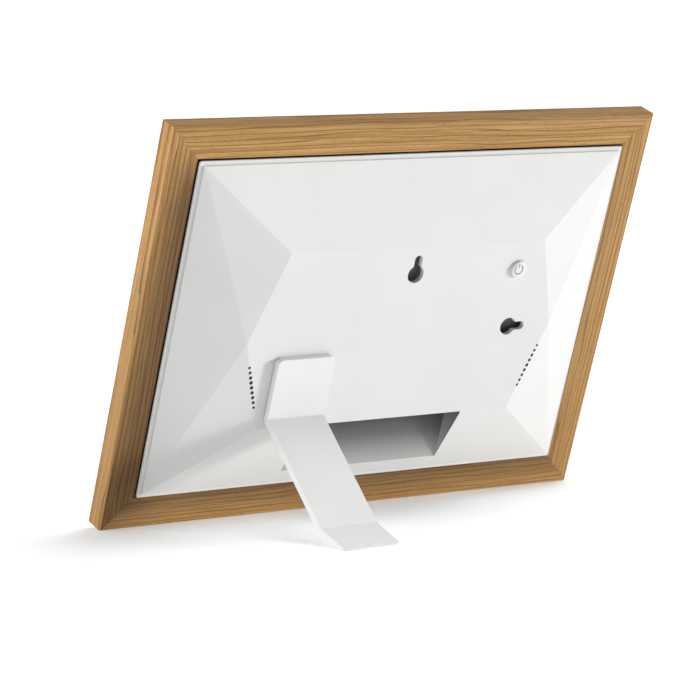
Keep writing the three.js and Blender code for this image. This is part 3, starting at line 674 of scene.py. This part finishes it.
def rail_shade_tone(name, down, inward, depth):
    """Painted shade on a rail at one place. down runs from 0 to 1: down the right rail, and along the bottom one
    away from it.
    """
    outside = inward < SIDE_BAND
    if depth < RAIL_DEPTH - BACK_BAND and not outside:
        return FRONT_TONE
    share = inward / RAIL_BACK
    if name in RAIL_SHADE_TONES:
        side, outer, inner = RAIL_SHADE_TONES[name]
        at_corner = max(0.0, 1 - down / CORNER_SHARE) if name == "oak_rail_bottom" else 0.0
        back = outer + (inner - outer) * share + CORNER_SHADE_TONE * at_corner
        return side if outside else min(DARKEST_TONE, back)
    if outside:
        return RIGHT_SIDE_TONE * min(1.0, max(0.0, (down - RIGHT_SIDE_START) / FADE_SHARE))
    base = RIGHT_BACK_TONE * down
    return min(DARKEST_TONE, base + (1 - base) * math.sqrt(share)) * min(1.0, down / FADE_SHARE)


def build_rail(name, half_length, outward, turn, shift):
    """One mitred rail, drawn along x above the middle and turned to its side of the frame."""
    bm = bmesh.new()
    section = rail_section()
    rows = []
    for station in range(RAIL_STATIONS):
        share = 2 * station / (RAIL_STATIONS - 1) - 1
        row = []
        for inward, depth in section:
            reach = half_length - inward - MITRE_JOINT
            row.append((share * reach, depth, outward - inward))
        rows.append(row)
    loft(bm, rows)
    plank = bm.verts.layers.float_vector.new("plank")
    # each vertex carries how much painted shade darkens it
    shade = bm.verts.layers.float.new("shade_tone")
    for vertex in bm.verts:
        inward = outward - vertex.co.z
        down = 0.5 + vertex.co.x / (2 * half_length)
        vertex[shade] = rail_shade_tone(name, down, inward, vertex.co.y)
        vertex[plank] = Vector((vertex.co.x, inward, vertex.co.y)) * MM + shift
    bmesh.ops.rotate(bm, verts=bm.verts, matrix=Matrix.Rotation(turn, 3, "Y"))
    mesh_object(name, bm, OAK, "frame", [f"frame_{name[4:]}"])


def build_rails():
    """The last value shifts each rail's grain, so that no two are cut from the same wood."""
    rails = (
        ("oak_rail_top", FRAME_HALF_X, FRAME_HALF_Z, 0.0, (0.0, 0.0, 0.0)),
        ("oak_rail_left", FRAME_HALF_Z, FRAME_HALF_X, -math.pi / 2, (0.7, 0.11, 0.02)),
        ("oak_rail_bottom", FRAME_HALF_X, FRAME_HALF_Z, math.pi, (1.4, 0.23, 0.05)),
        ("oak_rail_right", FRAME_HALF_Z, FRAME_HALF_X, math.pi / 2, (2.1, 0.37, 0.03)),
    )
    for name, half_length, outward, turn, shift in rails:
        build_rail(name, half_length, outward, turn, Vector(shift))


# -------- rear cover

CREASE_ROUND = 0.5
FACETS_OVER = 3.0  # how far the facets are carried on in x before they are trimmed
RIM_TOP = RIM_Y - 1.0
LIP_THICK = 0.9
LIP_BEVEL = 0.3
LIP_OVERHANG = 0.6
CORNER_ROUND, LEAST_CORNER = 0.9, 0.3
TRIM_UNDER = 0.5  # how far into the rim the trimmed facets reach
PAST = 1.0  # how far a cutter runs on past what it cuts
BAY_BLOCK_DROP, BAY_BLOCK_TOP = 0.4, 0.6  # how far the bay's walls end below the facets and flat
BAY_CORNER = 0.8

# For each side of the rim, the points of the flat that its facet meets, then the two that the
# triangle at its far corner meets.
SIDE_FLATS = ((1, 0), (2,), (4, 3), (5,))
CORNER_FLATS = ((2, 1), (3, 2), (5, 4), (0, 5))


def facet_points(drop):
    """The facets' four corners at the rim and the flat's six, lowered by drop."""
    rim = [(side * BASE_X, RIM_Y - drop, end * BASE_Z) for side, end in CORNERS]
    corners = (
        (-END_X, BOTTOM_CREASE), (END_X, BOTTOM_CREASE), (MIDDLE_X, MIDDLE_Z),
        (END_X, TOP_CREASE), (-END_X, TOP_CREASE), (-MIDDLE_X, MIDDLE_Z),
    )
    return rim, [(x, FLAT_Y - drop, z) for x, z in corners]


def facet_hull(drop, floor_y, outer=()):
    """The faceted hull, lowered by drop, closed by walls and a floor at floor_y.

    outer gives four points that the facets are carried on to, past the rim. Returns the hull and
    the vertices at the ends of its creases."""
    bm = bmesh.new()
    rim_points, flat_points = facet_points(drop)
    low = [bm.verts.new((x, floor_y, z)) for x, _, z in outer or rim_points]
    over, rim, flat = (
        [bm.verts.new(point) for point in points] for points in (outer, rim_points, flat_points)
    )
    edge = over or rim
    bm.faces.new(list(reversed(low)))
    for i in range(4):
        j = (i + 1) % 4
        bm.faces.new((low[i], low[j], edge[j], edge[i]))
    for i in range(4):
        j = (i + 1) % 4
        side = [flat[k] for k in SIDE_FLATS[i]]
        outside = [over[i], over[j], rim[j], *side, rim[i]] if over else [rim[i], rim[j], *side]
        bm.faces.new(outside)
        bm.faces.new([rim[j]] + [flat[k] for k in CORNER_FLATS[i]])
    bm.faces.new(flat)
    return bm, rim + flat


def facet_solid(drop):
    return facet_hull(drop, SKIRT_Y - PAST)[0]


def rounded_facets():
    """The facets carried on past the rim, so their creases can be softened right to its edge."""
    rise = FLAT_Y - RIM_Y
    slope_x = rise / (BASE_X - MIDDLE_X)
    ends = []
    for x, y, z in facet_points(0)[0]:
        slope_z = rise / (BASE_Z - TOP_CREASE if z > 0 else BASE_Z + BOTTOM_CREASE)
        over_z = FACETS_OVER * slope_x / slope_z
        end_x = x + math.copysign(FACETS_OVER, x)
        ends.append((end_x, y - FACETS_OVER * slope_x, z + math.copysign(over_z, z)))
    bm, crease_ends = facet_hull(0, SKIRT_Y, ends)
    skin = set(crease_ends)
    creases = [edge for edge in bm.edges if skin & set(edge.verts)]
    bmesh.ops.bevel(
        bm, geom=creases, offset=CREASE_ROUND, segments=3, profile=0.5, affect="EDGES",
        clamp_overlap=True,
    )
    return bm


def flared_hole(outline_at, top_y, bottom_y, flare, steps=3):
    """A cutter through the wall whose mouth opens out in a small rounded flare.

    outline_at(grow) gives the hole's outline grown by that much."""
    bm = bmesh.new()
    rings = [[(x, top_y + PAST, z) for x, z in outline_at(flare)]]
    for step in range(steps + 1):
        angle = math.pi / 2 * step / steps
        grow = flare * (1 - math.sin(angle))
        depth = flare * (1 - math.cos(angle))
        rings.append([(x, top_y - depth, z) for x, z in outline_at(grow)])
    rings.append([(x, bottom_y, z) for x, z in outline_at(0)])
    loft(bm, rings)
    return bm


HEAD_STEPS, SLOT_STEPS = 32, 16


def keyhole_outline(x, z, slot_x, slot_z):
    """One outline round the head hole and its slot, as flared_hole takes it."""
    heading = math.atan2(slot_z, slot_x)

    def outline(grow):
        head, slot = KEYHOLE_R + grow, SLOT_R + grow
        start = math.asin(slot / head)
        points = []
        for step in range(HEAD_STEPS + 1):
            angle = heading + start + (2 * math.pi - 2 * start) * step / HEAD_STEPS
            points.append((x + head * math.cos(angle), z + head * math.sin(angle)))
        cx, cz = x + slot_x * SLOT_TRAVEL, z + slot_z * SLOT_TRAVEL
        for step in range(SLOT_STEPS + 1):
            angle = heading - math.pi / 2 + math.pi * step / SLOT_STEPS
            points.append((cx + slot * math.cos(angle), cz + slot * math.sin(angle)))
        return points

    return outline


SOUND_HOLES = 9
HOLES_START, HOLES_END = 0.274, 0.736  # shares of the crease
HOLE_SMALL, HOLE_LARGE = 1.45, 1.9


def sound_hole_places():
    """The x, z and radius of each hole, along the two lower creases, largest in the middle."""
    for side in (-1, 1):
        for index in range(SOUND_HOLES):
            along = index / (SOUND_HOLES - 1)
            share = HOLES_START + (HOLES_END - HOLES_START) * along
            swell = 1 - (2 * along - 1) ** 2
            radius = (HOLE_SMALL + (HOLE_LARGE - HOLE_SMALL) * swell) / 2
            x = side * (MIDDLE_X + (END_X - MIDDLE_X) * share)
            z = MIDDLE_Z + (BOTTOM_CREASE - MIDDLE_Z) * share
            yield x, z, radius


# the x, width and height of the power jack, the USB port and the card slot
PORTS = ((25.0, 7.5, 5.5), (8.0, 7.8, 3.0), (-21.0, 26.4, 3.4))
PORT_Y = 17.1
PORT_CLEARANCE, PORT_UNDER = 0.4, 0.2


def box_mesh(x0, x1, y0, y1, z0, z1):
    return prism([(x0, z0), (x1, z0), (x1, z1), (x0, z1)], y0, y1)


def bay_cutter():
    """The wedge pocket, the edges round its floor and up its corners rounded a little."""
    bm = box_mesh(-BAY_HALF, BAY_HALF, BAY_FLOOR_Y, FLAT_Y + 6, BAY_BOTTOM, BOTTOM_CREASE)
    bmesh.ops.recalc_face_normals(bm, faces=bm.faces)
    corners = [
        edge
        for edge in bm.edges
        if min(vertex.co.y for vertex in edge.verts) < BAY_FLOOR_Y + PAST
    ]
    bmesh.ops.bevel(
        bm, geom=corners, offset=BAY_CORNER, segments=4, profile=0.5, affect="EDGES"
    )
    return bm


def cover_outline(margin):
    """The cover's edge, drawn in by a margin."""
    x, z = COVER_HALF_X - margin, COVER_HALF_Z - margin
    return round_box(-x, x, -z, z, max(LEAST_CORNER, CORNER_ROUND - margin / 2))


# the painted-shadow strip under the lip: how far in from the cover's edge it reaches, and its depths
SHADE_STRIP_INNER, SHADE_STRIP_OUTER = LIP_OVERHANG - 0.01, 0.08
SHADE_STRIP_RISE, SHADE_STRIP_ROOM = 1.5, 0.03


def build_gap_shade():
    """A black strip round the skirt, under the lip, that closes the gap to the oak: painted shadow, a dark piece
    standing in for the shade in the gap.
    """
    bm = bmesh.new()
    inner, outer = cover_outline(SHADE_STRIP_INNER), cover_outline(SHADE_STRIP_OUTER)
    y0, y1 = SKIRT_Y + SHADE_STRIP_RISE, RIM_TOP - LIP_THICK - SHADE_STRIP_ROOM
    loops = ((inner, y0), (outer, y0), (outer, y1), (inner, y1))
    loft(bm, [[(x, y, z) for x, z in outline] for outline, y in loops], hoop=True)
    mesh_object("gap_shade_strip", bm, GAP_SHADE, "frame")


WALL_TOLERANCE, FLOOR_TOLERANCE, SKIN_TOLERANCE = 0.02, 0.05, 0.3


def line_bay(cover):
    """Gives the faces inside the port bay the bay's coarser grey surface and its painted shade, lighter on the
    side walls.
    """
    cover.data.materials.append(BAY_SHADE)
    cover.data.materials.append(BAY_SIDE_SHADE)
    grey, side = 1, 2
    for polygon in cover.data.polygons:
        x, y, z = (value / MM for value in polygon.center)
        surface = RIM_Y + (FLAT_Y - RIM_Y) * (z + BASE_Z) / (BOTTOM_CREASE + BASE_Z)
        between = abs(x) < BAY_HALF + WALL_TOLERANCE
        level = BAY_BOTTOM - WALL_TOLERANCE < z < BOTTOM_CREASE + WALL_TOLERANCE
        deep = BAY_FLOOR_Y - FLOOR_TOLERANCE < y < surface - SKIN_TOLERANCE
        if between and level and deep:
            # the side walls take the lighter painted shade
            polygon.material_index = side if abs(polygon.normal.x) > 0.9 else grey


def add_rim(cover):
    """Joins on the rim, a thin lip a small step below the facets that overhangs the skirt."""
    rim = prism(cover_outline(0), RIM_TOP - LIP_THICK, RIM_TOP)
    bmesh.ops.recalc_face_normals(rim, faces=rim.faces)
    edges = [
        edge
        for edge in rim.edges
        if all(abs(vertex.co.y - RIM_TOP) < 0.01 for vertex in edge.verts)
    ]
    bmesh.ops.bevel(rim, geom=edges, offset=LIP_BEVEL, segments=3, profile=0.5, affect="EDGES")
    skirt = prism(cover_outline(LIP_OVERHANG), SKIRT_Y, RIM_TOP - LIP_THICK / 2)
    ring = mesh_object("rim_ring", rim, WHITE, "frame")
    carve(ring, [skirt], "UNION")
    combine(cover, ring, "UNION")


def add_bay_walls(cover):
    """Joins on the block that the port bay is cut into, kept under the facets."""
    walls = box_mesh(
        -BAY_HALF - BAY_WALL, BAY_HALF + BAY_WALL, BAY_FLOOR_Y - BAY_WALL, FLAT_Y - BAY_BLOCK_TOP,
        BAY_BOTTOM - BAY_WALL, BOTTOM_CREASE + BAY_WALL,
    )
    block = mesh_object("bay_block", walls, WHITE, "frame")
    carve(block, [facet_solid(BAY_BLOCK_DROP)], "INTERSECT")
    combine(cover, block, "UNION")


KEYHOLE_FLARE, BUTTON_FLARE, PIVOT_FLARE, SOUND_FLARE = 0.25, 0.05, 0.2, 0.12
BUTTON_CLEARANCE = 0.15  # closer than the CAD's 0.35
SOUND_HOLE_DEPTH = 5


def round_hole(x, z, radius, flare, depth=WALL_DROP + PAST, count=48, steps=3):
    """A cutter for a round hole in the flat."""
    return flared_hole(
        lambda grow: circle(x, z, radius + grow, count), FLAT_Y, FLAT_Y - depth, flare, steps
    )


def hole_cutters():
    """The port bay, the keyholes, the button's and pivot's holes, the sound holes and the ports."""
    cutters = [bay_cutter()]
    for keyhole in KEYHOLES:
        outline = keyhole_outline(*keyhole)
        cutters.append(flared_hole(outline, FLAT_Y, INNER_FLAT_Y - PAST, KEYHOLE_FLARE))
    cutters.append(round_hole(BUTTON_X, BUTTON_Z, BUTTON_R + BUTTON_CLEARANCE, BUTTON_FLARE))
    cutters.append(round_hole(PIVOT_X, PIVOT_Z, PIVOT_R + PIVOT_CLEARANCE, PIVOT_FLARE))
    for x, z, radius in sound_hole_places():
        cutters.append(round_hole(x, z, radius, SOUND_FLARE, SOUND_HOLE_DEPTH, 20, 2))
    for x, width, height in PORTS:
        reach = width / 2
        cutters.append(
            box_mesh(
                x - reach - PORT_CLEARANCE, x + reach + PORT_CLEARANCE,
                PORT_Y - PORT_UNDER, PORT_Y + height + PORT_CLEARANCE,
                BOTTOM_CREASE - PAST, BOTTOM_CREASE + BAY_WALL + PAST,
            )
        )
    return cutters


def build_rear_cover():
    cover = mesh_object(
        "back_cover", rounded_facets(), WHITE, "frame", ["rear_cover"]
    )
    trim = prism(cover_outline(RIM_FLAT), RIM_TOP - TRIM_UNDER, FLAT_Y + PAST)
    carve(cover, [trim], "INTERSECT")
    add_rim(cover)
    carve(cover, [facet_solid(WALL_DROP)])
    add_bay_walls(cover)
    carve(cover, hole_cutters())
    line_bay(cover)
    shade_smooth(cover, 28)
    keep_flats(cover)


PLUG_TOP, PLUG_BOTTOM, PLUG_GROWTH = 0.35, 4.2, 1.25


def build_sound_cloths():
    """Black cloth behind each row of holes, pressed up into them."""
    for name in ("left", "right"):
        low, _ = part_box(f"speaker_cloth_{name}")
        bm = bmesh.new()
        for x, z, radius in sound_hole_places():
            if x * low[0] < 0:
                continue
            wide, top, bottom = radius * PLUG_GROWTH, FLAT_Y - PLUG_TOP, FLAT_Y - PLUG_BOTTOM
            turned(bm, [(0, bottom), (wide, bottom), (wide, top), (0, top)], 12, x, z)
        mesh_object(f"sound_cloth_plugs_{name}", bm, CLOTH, "frame")


# -------- stand

STAND_EDGE = 0.45
STAND_CORNER = 2.5
STAND_GAP = 0.3  # between the flat and the plate
STAND_TOP_RISE, STAND_BEND_DROP = 15.4, 14.6  # from the pivot
LEG_ANGLE = math.radians(63.2)  # away from the plane of the picture
LEG_LENGTH, FOOT_LENGTH, FOOT_TIP = 62.6, 16.1, 0.9
BEND_UNDER_R, BEND_UPPER_R, HEEL_R, INSTEP_R = 2.2, 0.9, 0.8, 1.4
END_STEPS = 6
BOSS_END_Y, BOSS_CHAMFER = 22.2, 0.3


def floor_z(y):
    """Where the surface it stands on crosses the leaning axes at depth y."""
    base = LEANING.inverted() @ Vector((0, 0, 0))
    return base.z / MM + (y - base.y / MM) * math.tan(LEAN)


def arc_steps(before, here, after, radius, steps=5):
    """Points round a corner of a 2-D outline, rounded to a radius."""
    inward = (before - here).normalized()
    onward = (after - here).normalized()
    half = math.acos(max(-1.0, min(1.0, inward.dot(onward)))) / 2
    cut = radius / math.tan(half)
    centre = here + (inward + onward).normalized() * (radius / math.sin(half))
    first = here + inward * cut - centre
    last = here + onward * cut - centre
    start = math.atan2(first.y, first.x)
    sweep = math.remainder(math.atan2(last.y, last.x) - start, 2 * math.pi)
    angles = [start + sweep * step / steps for step in range(steps + 1)]
    return [centre + Vector((math.cos(angle), math.sin(angle))) * radius for angle in angles]


def corner_share(distance):
    """How much narrower each side is this far from an end with round corners."""
    short = max(0.0, STAND_CORNER - distance)
    return STAND_CORNER - math.sqrt(max(0.0, STAND_CORNER**2 - short**2))


def stand_stations():
    """Down the plate: its under point, its upper point and how much each side is drawn in."""
    under_y = FLAT_Y + STAND_GAP
    upper_y = under_y + STAND_THICK
    top = PIVOT_Z + STAND_TOP_RISE
    bend = PIVOT_Z - STAND_BEND_DROP
    along = Vector((math.sin(LEG_ANGLE), -math.cos(LEG_ANGLE)))
    under_bend = Vector((under_y, bend - STAND_THICK * math.tan(LEG_ANGLE / 2)))
    upper_bend = Vector((upper_y, bend))
    instep = upper_bend + along * LEG_LENGTH
    slope = math.tan(LEAN)
    reach = (floor_z(under_bend.x) - under_bend.y) / (along.y - along.x * slope)
    heel = under_bend + along * reach
    sole = Vector((math.cos(LEAN), math.sin(LEAN)))
    rise = Vector((-math.sin(LEAN), math.cos(LEAN)))
    toe = heel + sole * FOOT_LENGTH
    toe_top = toe + rise * FOOT_TIP

    ends = [
        STAND_CORNER * (1 - math.cos(math.pi / 2 * step / END_STEPS))
        for step in range(END_STEPS + 1)
    ]
    stations = []
    for distance in ends:
        under = Vector((under_y, top - distance))
        stations.append((under, Vector((upper_y, top - distance)), corner_share(distance)))
    under_arc = arc_steps(Vector((under_y, top)), under_bend, heel, BEND_UNDER_R)
    upper_arc = arc_steps(Vector((upper_y, top)), upper_bend, instep, BEND_UPPER_R)
    stations += [(under, upper, 0.0) for under, upper in zip(under_arc, upper_arc)]
    under_arc = arc_steps(under_bend, heel, toe, HEEL_R)
    upper_arc = arc_steps(upper_bend, instep, toe_top, INSTEP_R)
    stations += [(under, upper, 0.0) for under, upper in zip(under_arc, upper_arc)]
    length = (toe_top - instep).length
    for distance in reversed(ends):
        under = toe - sole * distance
        upper = toe_top + (instep - toe_top) * (distance / length)
        stations.append((under, upper, corner_share(distance)))
    return stations


def build_stand():
    """The bent plate, its edges softened, with the boss that turns in the cover."""
    bm = bmesh.new()
    rings = []
    for under, upper, narrow in stand_stations():
        half = STAND_HALF - narrow
        corners = ((-half, under), (half, under), (half, upper), (-half, upper))
        rings.append([(x, point.x, point.y) for x, point in corners])
    loft(bm, rings)
    stand = mesh_object(
        "stand_plate", bm, STAND_WHITE, "stand", ["stand"],
        LEANING @ Matrix.Translation(Vector((PIVOT_X, 0, 0)) * MM), smooth=25,
    )
    edges = stand.modifiers.new("soft_edges", "BEVEL")
    edges.width = STAND_EDGE * MM
    edges.segments = 3
    edges.limit_method = "ANGLE"
    edges.angle_limit = math.radians(50)
    edges.use_clamp_overlap = True
    apply_modifiers(stand)
    boss = bmesh.new()
    profile = [
        (0, BOSS_END_Y),
        (PIVOT_R - BOSS_CHAMFER, BOSS_END_Y),
        (PIVOT_R, BOSS_END_Y + BOSS_CHAMFER),
        (PIVOT_R, FLAT_Y + PAST),
        (0, FLAT_Y + PAST),
    ]
    turned(boss, profile, 40, 0, PIVOT_Z)
    carve(stand, [boss], "UNION")
    shade_smooth(stand, 40)
    keep_flats(stand)
    apply_modifiers(stand)


# -------- power button


STEM_R, STEM_END_Y = 1.6, 22.2
FLANGE_R, FLANGE_Y, FLANGE_TOP_Y = 5.8, 24.0, 25.0
CAP_ROUND, CAP_STEPS = 1.0, 6
# The mark is set where the photograph shows it, a little off the middle of the cap.
MARK_X, MARK_Z = BUTTON_X + 0.5, BUTTON_Z + 0.4
MARK_R, MARK_GAP, MARK_STEPS = 2.3, math.radians(34), 48
BAR_LOW, BAR_HIGH = 0.9, 3.0  # above the mark's middle
GROOVE_FLOOR, GROOVE_HALF = BUTTON_TOP - 0.18, 0.34
INK_UNDER, INK_OVER, INK_HALF = 0.05, 0.06, 0.32


def build_power_button():
    """The cap with its stem and flange, and the mark that is cut into it and inked."""
    bm = bmesh.new()
    profile = [
        (0, STEM_END_Y),
        (STEM_R, STEM_END_Y),
        (STEM_R, FLANGE_Y),
        (FLANGE_R, FLANGE_Y),
        (FLANGE_R, FLANGE_TOP_Y),
        (BUTTON_R, FLANGE_TOP_Y),
    ]
    for step in range(CAP_STEPS + 1):
        angle = math.pi / 2 * step / CAP_STEPS
        radius = BUTTON_R - CAP_ROUND + CAP_ROUND * math.cos(angle)
        profile.append((radius, BUTTON_TOP - CAP_ROUND + CAP_ROUND * math.sin(angle)))
    profile.append((0, BUTTON_TOP))
    turned(bm, profile, 64, BUTTON_X, BUTTON_Z)
    button = mesh_object(
        "button_cap", bm, BUTTON, "power_button", ["power_button"]
    )
    makers = (("power_mark_arc", mark_arc), ("power_mark_bar", mark_bar))
    carve(button, [maker(GROOVE_FLOOR, BUTTON_TOP + 0.5, GROOVE_HALF) for _, maker in makers])
    button.data.set_sharp_from_angle(angle=math.radians(30))
    for name, maker in makers:
        ink = maker(GROOVE_FLOOR - INK_UNDER, GROOVE_FLOOR + INK_OVER, INK_HALF)
        mesh_object(name, ink, MARK, "power_button")


def mark_arc(y0, y1, half_width):
    """An open ring, the generic power sign's arc, with its gap at the top."""
    outer = []
    inner = []
    for step in range(MARK_STEPS + 1):
        angle = math.pi / 2 + MARK_GAP + (2 * math.pi - 2 * MARK_GAP) * step / MARK_STEPS
        for row, r in ((outer, MARK_R + half_width), (inner, MARK_R - half_width)):
            row.append((MARK_X + r * math.cos(angle), MARK_Z + r * math.sin(angle)))
    return prism(outer + inner[::-1], y0, y1)


def mark_bar(y0, y1, half_width):
    """The short upright bar in the arc's gap."""
    outline = round_box(
        MARK_X - half_width, MARK_X + half_width, MARK_Z + BAR_LOW, MARK_Z + BAR_HIGH,
        half_width * 0.9, 4,
    )
    return prism(outline, y0, y1)


# -------- mount card

CARD_FRONT, CARD_BACK, CARD_SLANT = 5.4, 6.4, 0.8


def build_mat_board():
    """The mount card, its window cut at a bevel."""
    bm = bmesh.new()
    sizes = (
        (COVER_HALF_X, COVER_HALF_Z, CARD_FRONT),
        (COVER_HALF_X, COVER_HALF_Z, CARD_BACK),
        (PICTURE_HALF_X, PICTURE_HALF_Z, CARD_BACK),
        (PICTURE_HALF_X + CARD_SLANT, PICTURE_HALF_Z + CARD_SLANT, CARD_FRONT),
    )
    loft(bm, [[(sx * x, y, sz * z) for sx, sz in CORNERS] for x, z, y in sizes], hoop=True)
    mesh_object("mount_card", bm, CARD, "frame", ["mat_board"], smooth=20)


# -------- camera, light and floor

AIM = Vector((20.7, -12.2, 80.8)) * MM
DISTANCE = 1571.2 * MM
AZIMUTH, ELEVATION, ROLL = math.radians(144.71), math.radians(7.19), math.radians(-0.65)
LENS_MM = 171.25


def add_camera():
    """A long lens at the photograph's viewing angle, turned about its own axis by ROLL."""
    data = bpy.data.cameras.new("camera")
    data.sensor_width = 36
    data.lens = LENS_MM
    data.clip_start = 0.05
    data.clip_end = 60
    camera = bpy.data.objects.new("camera", data)
    bpy.context.scene.collection.objects.link(camera)
    out = math.cos(ELEVATION)
    back = Vector((math.sin(AZIMUTH) * out, -math.cos(AZIMUTH) * out, math.sin(ELEVATION)))
    camera.location = AIM + back * DISTANCE
    level = (-back).to_track_quat("-Z", "Y").to_matrix().to_4x4()
    camera.matrix_world = (
        Matrix.Translation(camera.location) @ level @ Matrix.Rotation(-ROLL, 4, "Z")
    )
    bpy.context.scene.camera = camera


def add_soft_light(name, direction, strength, spread):
    """A broad distant softbox: spread is how wide it looks, in degrees."""
    data = bpy.data.lights.new(name, "SUN")
    data.energy = strength
    data.angle = math.radians(spread)
    lamp = bpy.data.objects.new(name, data)
    bpy.context.scene.collection.objects.link(lamp)
    lamp.rotation_mode = "QUATERNION"
    lamp.rotation_quaternion = Vector(direction).to_track_quat("Z", "Y")


FLOOR_HALF = 40.0


def add_floor():
    """A pale floor that glows a little, so that it stays near white out of the lights."""
    material, shader = new_material("floor", (0.93, 0.93, 0.93), 0.7)
    shader.inputs["Emission Color"].default_value = (0.96, 1, 1.02, 1)
    shader.inputs["Emission Strength"].default_value = 0.3
    n = Nodes(material)
    grain = n.noise(n.position(), 60, 3.0)
    n.roughness(n.span(grain, 0.3, 0.7, 0.62, 0.78))
    bm = bmesh.new()
    bm.faces.new([bm.verts.new((x * FLOOR_HALF, y * FLOOR_HALF, 0)) for x, y in CORNERS])
    mesh = bpy.data.meshes.new("floor")
    bm.to_mesh(mesh)
    bm.free()
    floor = bpy.data.objects.new("floor", mesh)
    bpy.context.scene.collection.objects.link(floor)
    mesh.materials.append(material)


FRONT_SKY, BACK_SKY, HORIZON_SKY = 0.6, 0.04, 1.0
SIDE_BLEND = 0.4  # how far from the middle, in y, the sky goes from front to back
HORIZON_TOP, HORIZON_FADE = 0.03, 0.1  # heights between which the white horizon fades out


def add_world():
    """A studio that is white at the horizon, brighter on the picture's side than on the back's."""
    scene = bpy.context.scene
    sky = bpy.data.worlds.new("studio")
    sky.use_nodes = True
    scene.world = sky
    n = Nodes(sky)
    background = n.tree.nodes["Background"]
    background.inputs["Color"].default_value = (1, 1, 1, 1)
    direction = n.split(n.add("ShaderNodeTexCoord").outputs["Generated"])
    around = n.span(direction["Y"], -SIDE_BLEND, SIDE_BLEND, FRONT_SKY, BACK_SKY)
    band = n.span(direction["Z"], HORIZON_TOP, HORIZON_FADE, 1, 0)
    blend = n.add("ShaderNodeMix")
    n.link(band, blend.inputs["Factor"])
    n.link(around, blend.inputs["A"])
    blend.inputs["B"].default_value = HORIZON_SKY
    n.link(blend.outputs["Result"], background.inputs["Strength"])
    scene.view_settings.view_transform = "Standard"
    scene.view_settings.look = "None"


# Each light's name, the direction towards it, its strength and how wide it looks. In these world
# axes the camera stands towards (0.57, 0.81) and the photograph's right is (-0.82, 0.58).
SOFT_LIGHTS = (
    ("key", (-0.919, 0.386, 0.1), 0.4, 18),
    ("second_key", (-0.83, 0.555, 0.033), 2.9, 14),
    ("fill", (1.0, -0.25, 0.2), 1.8, 40),
    ("top", (-0.45, 0.1, 1.0), 1.4, 30),
)


# -------- build

dress_cad_nodes()
build_rails()
build_rear_cover()
build_gap_shade()
build_sound_cloths()
build_stand()
build_power_button()
build_mat_board()
settle_pieces()
add_floor()
add_world()
for light in SOFT_LIGHTS:
    add_soft_light(*light)
add_camera()
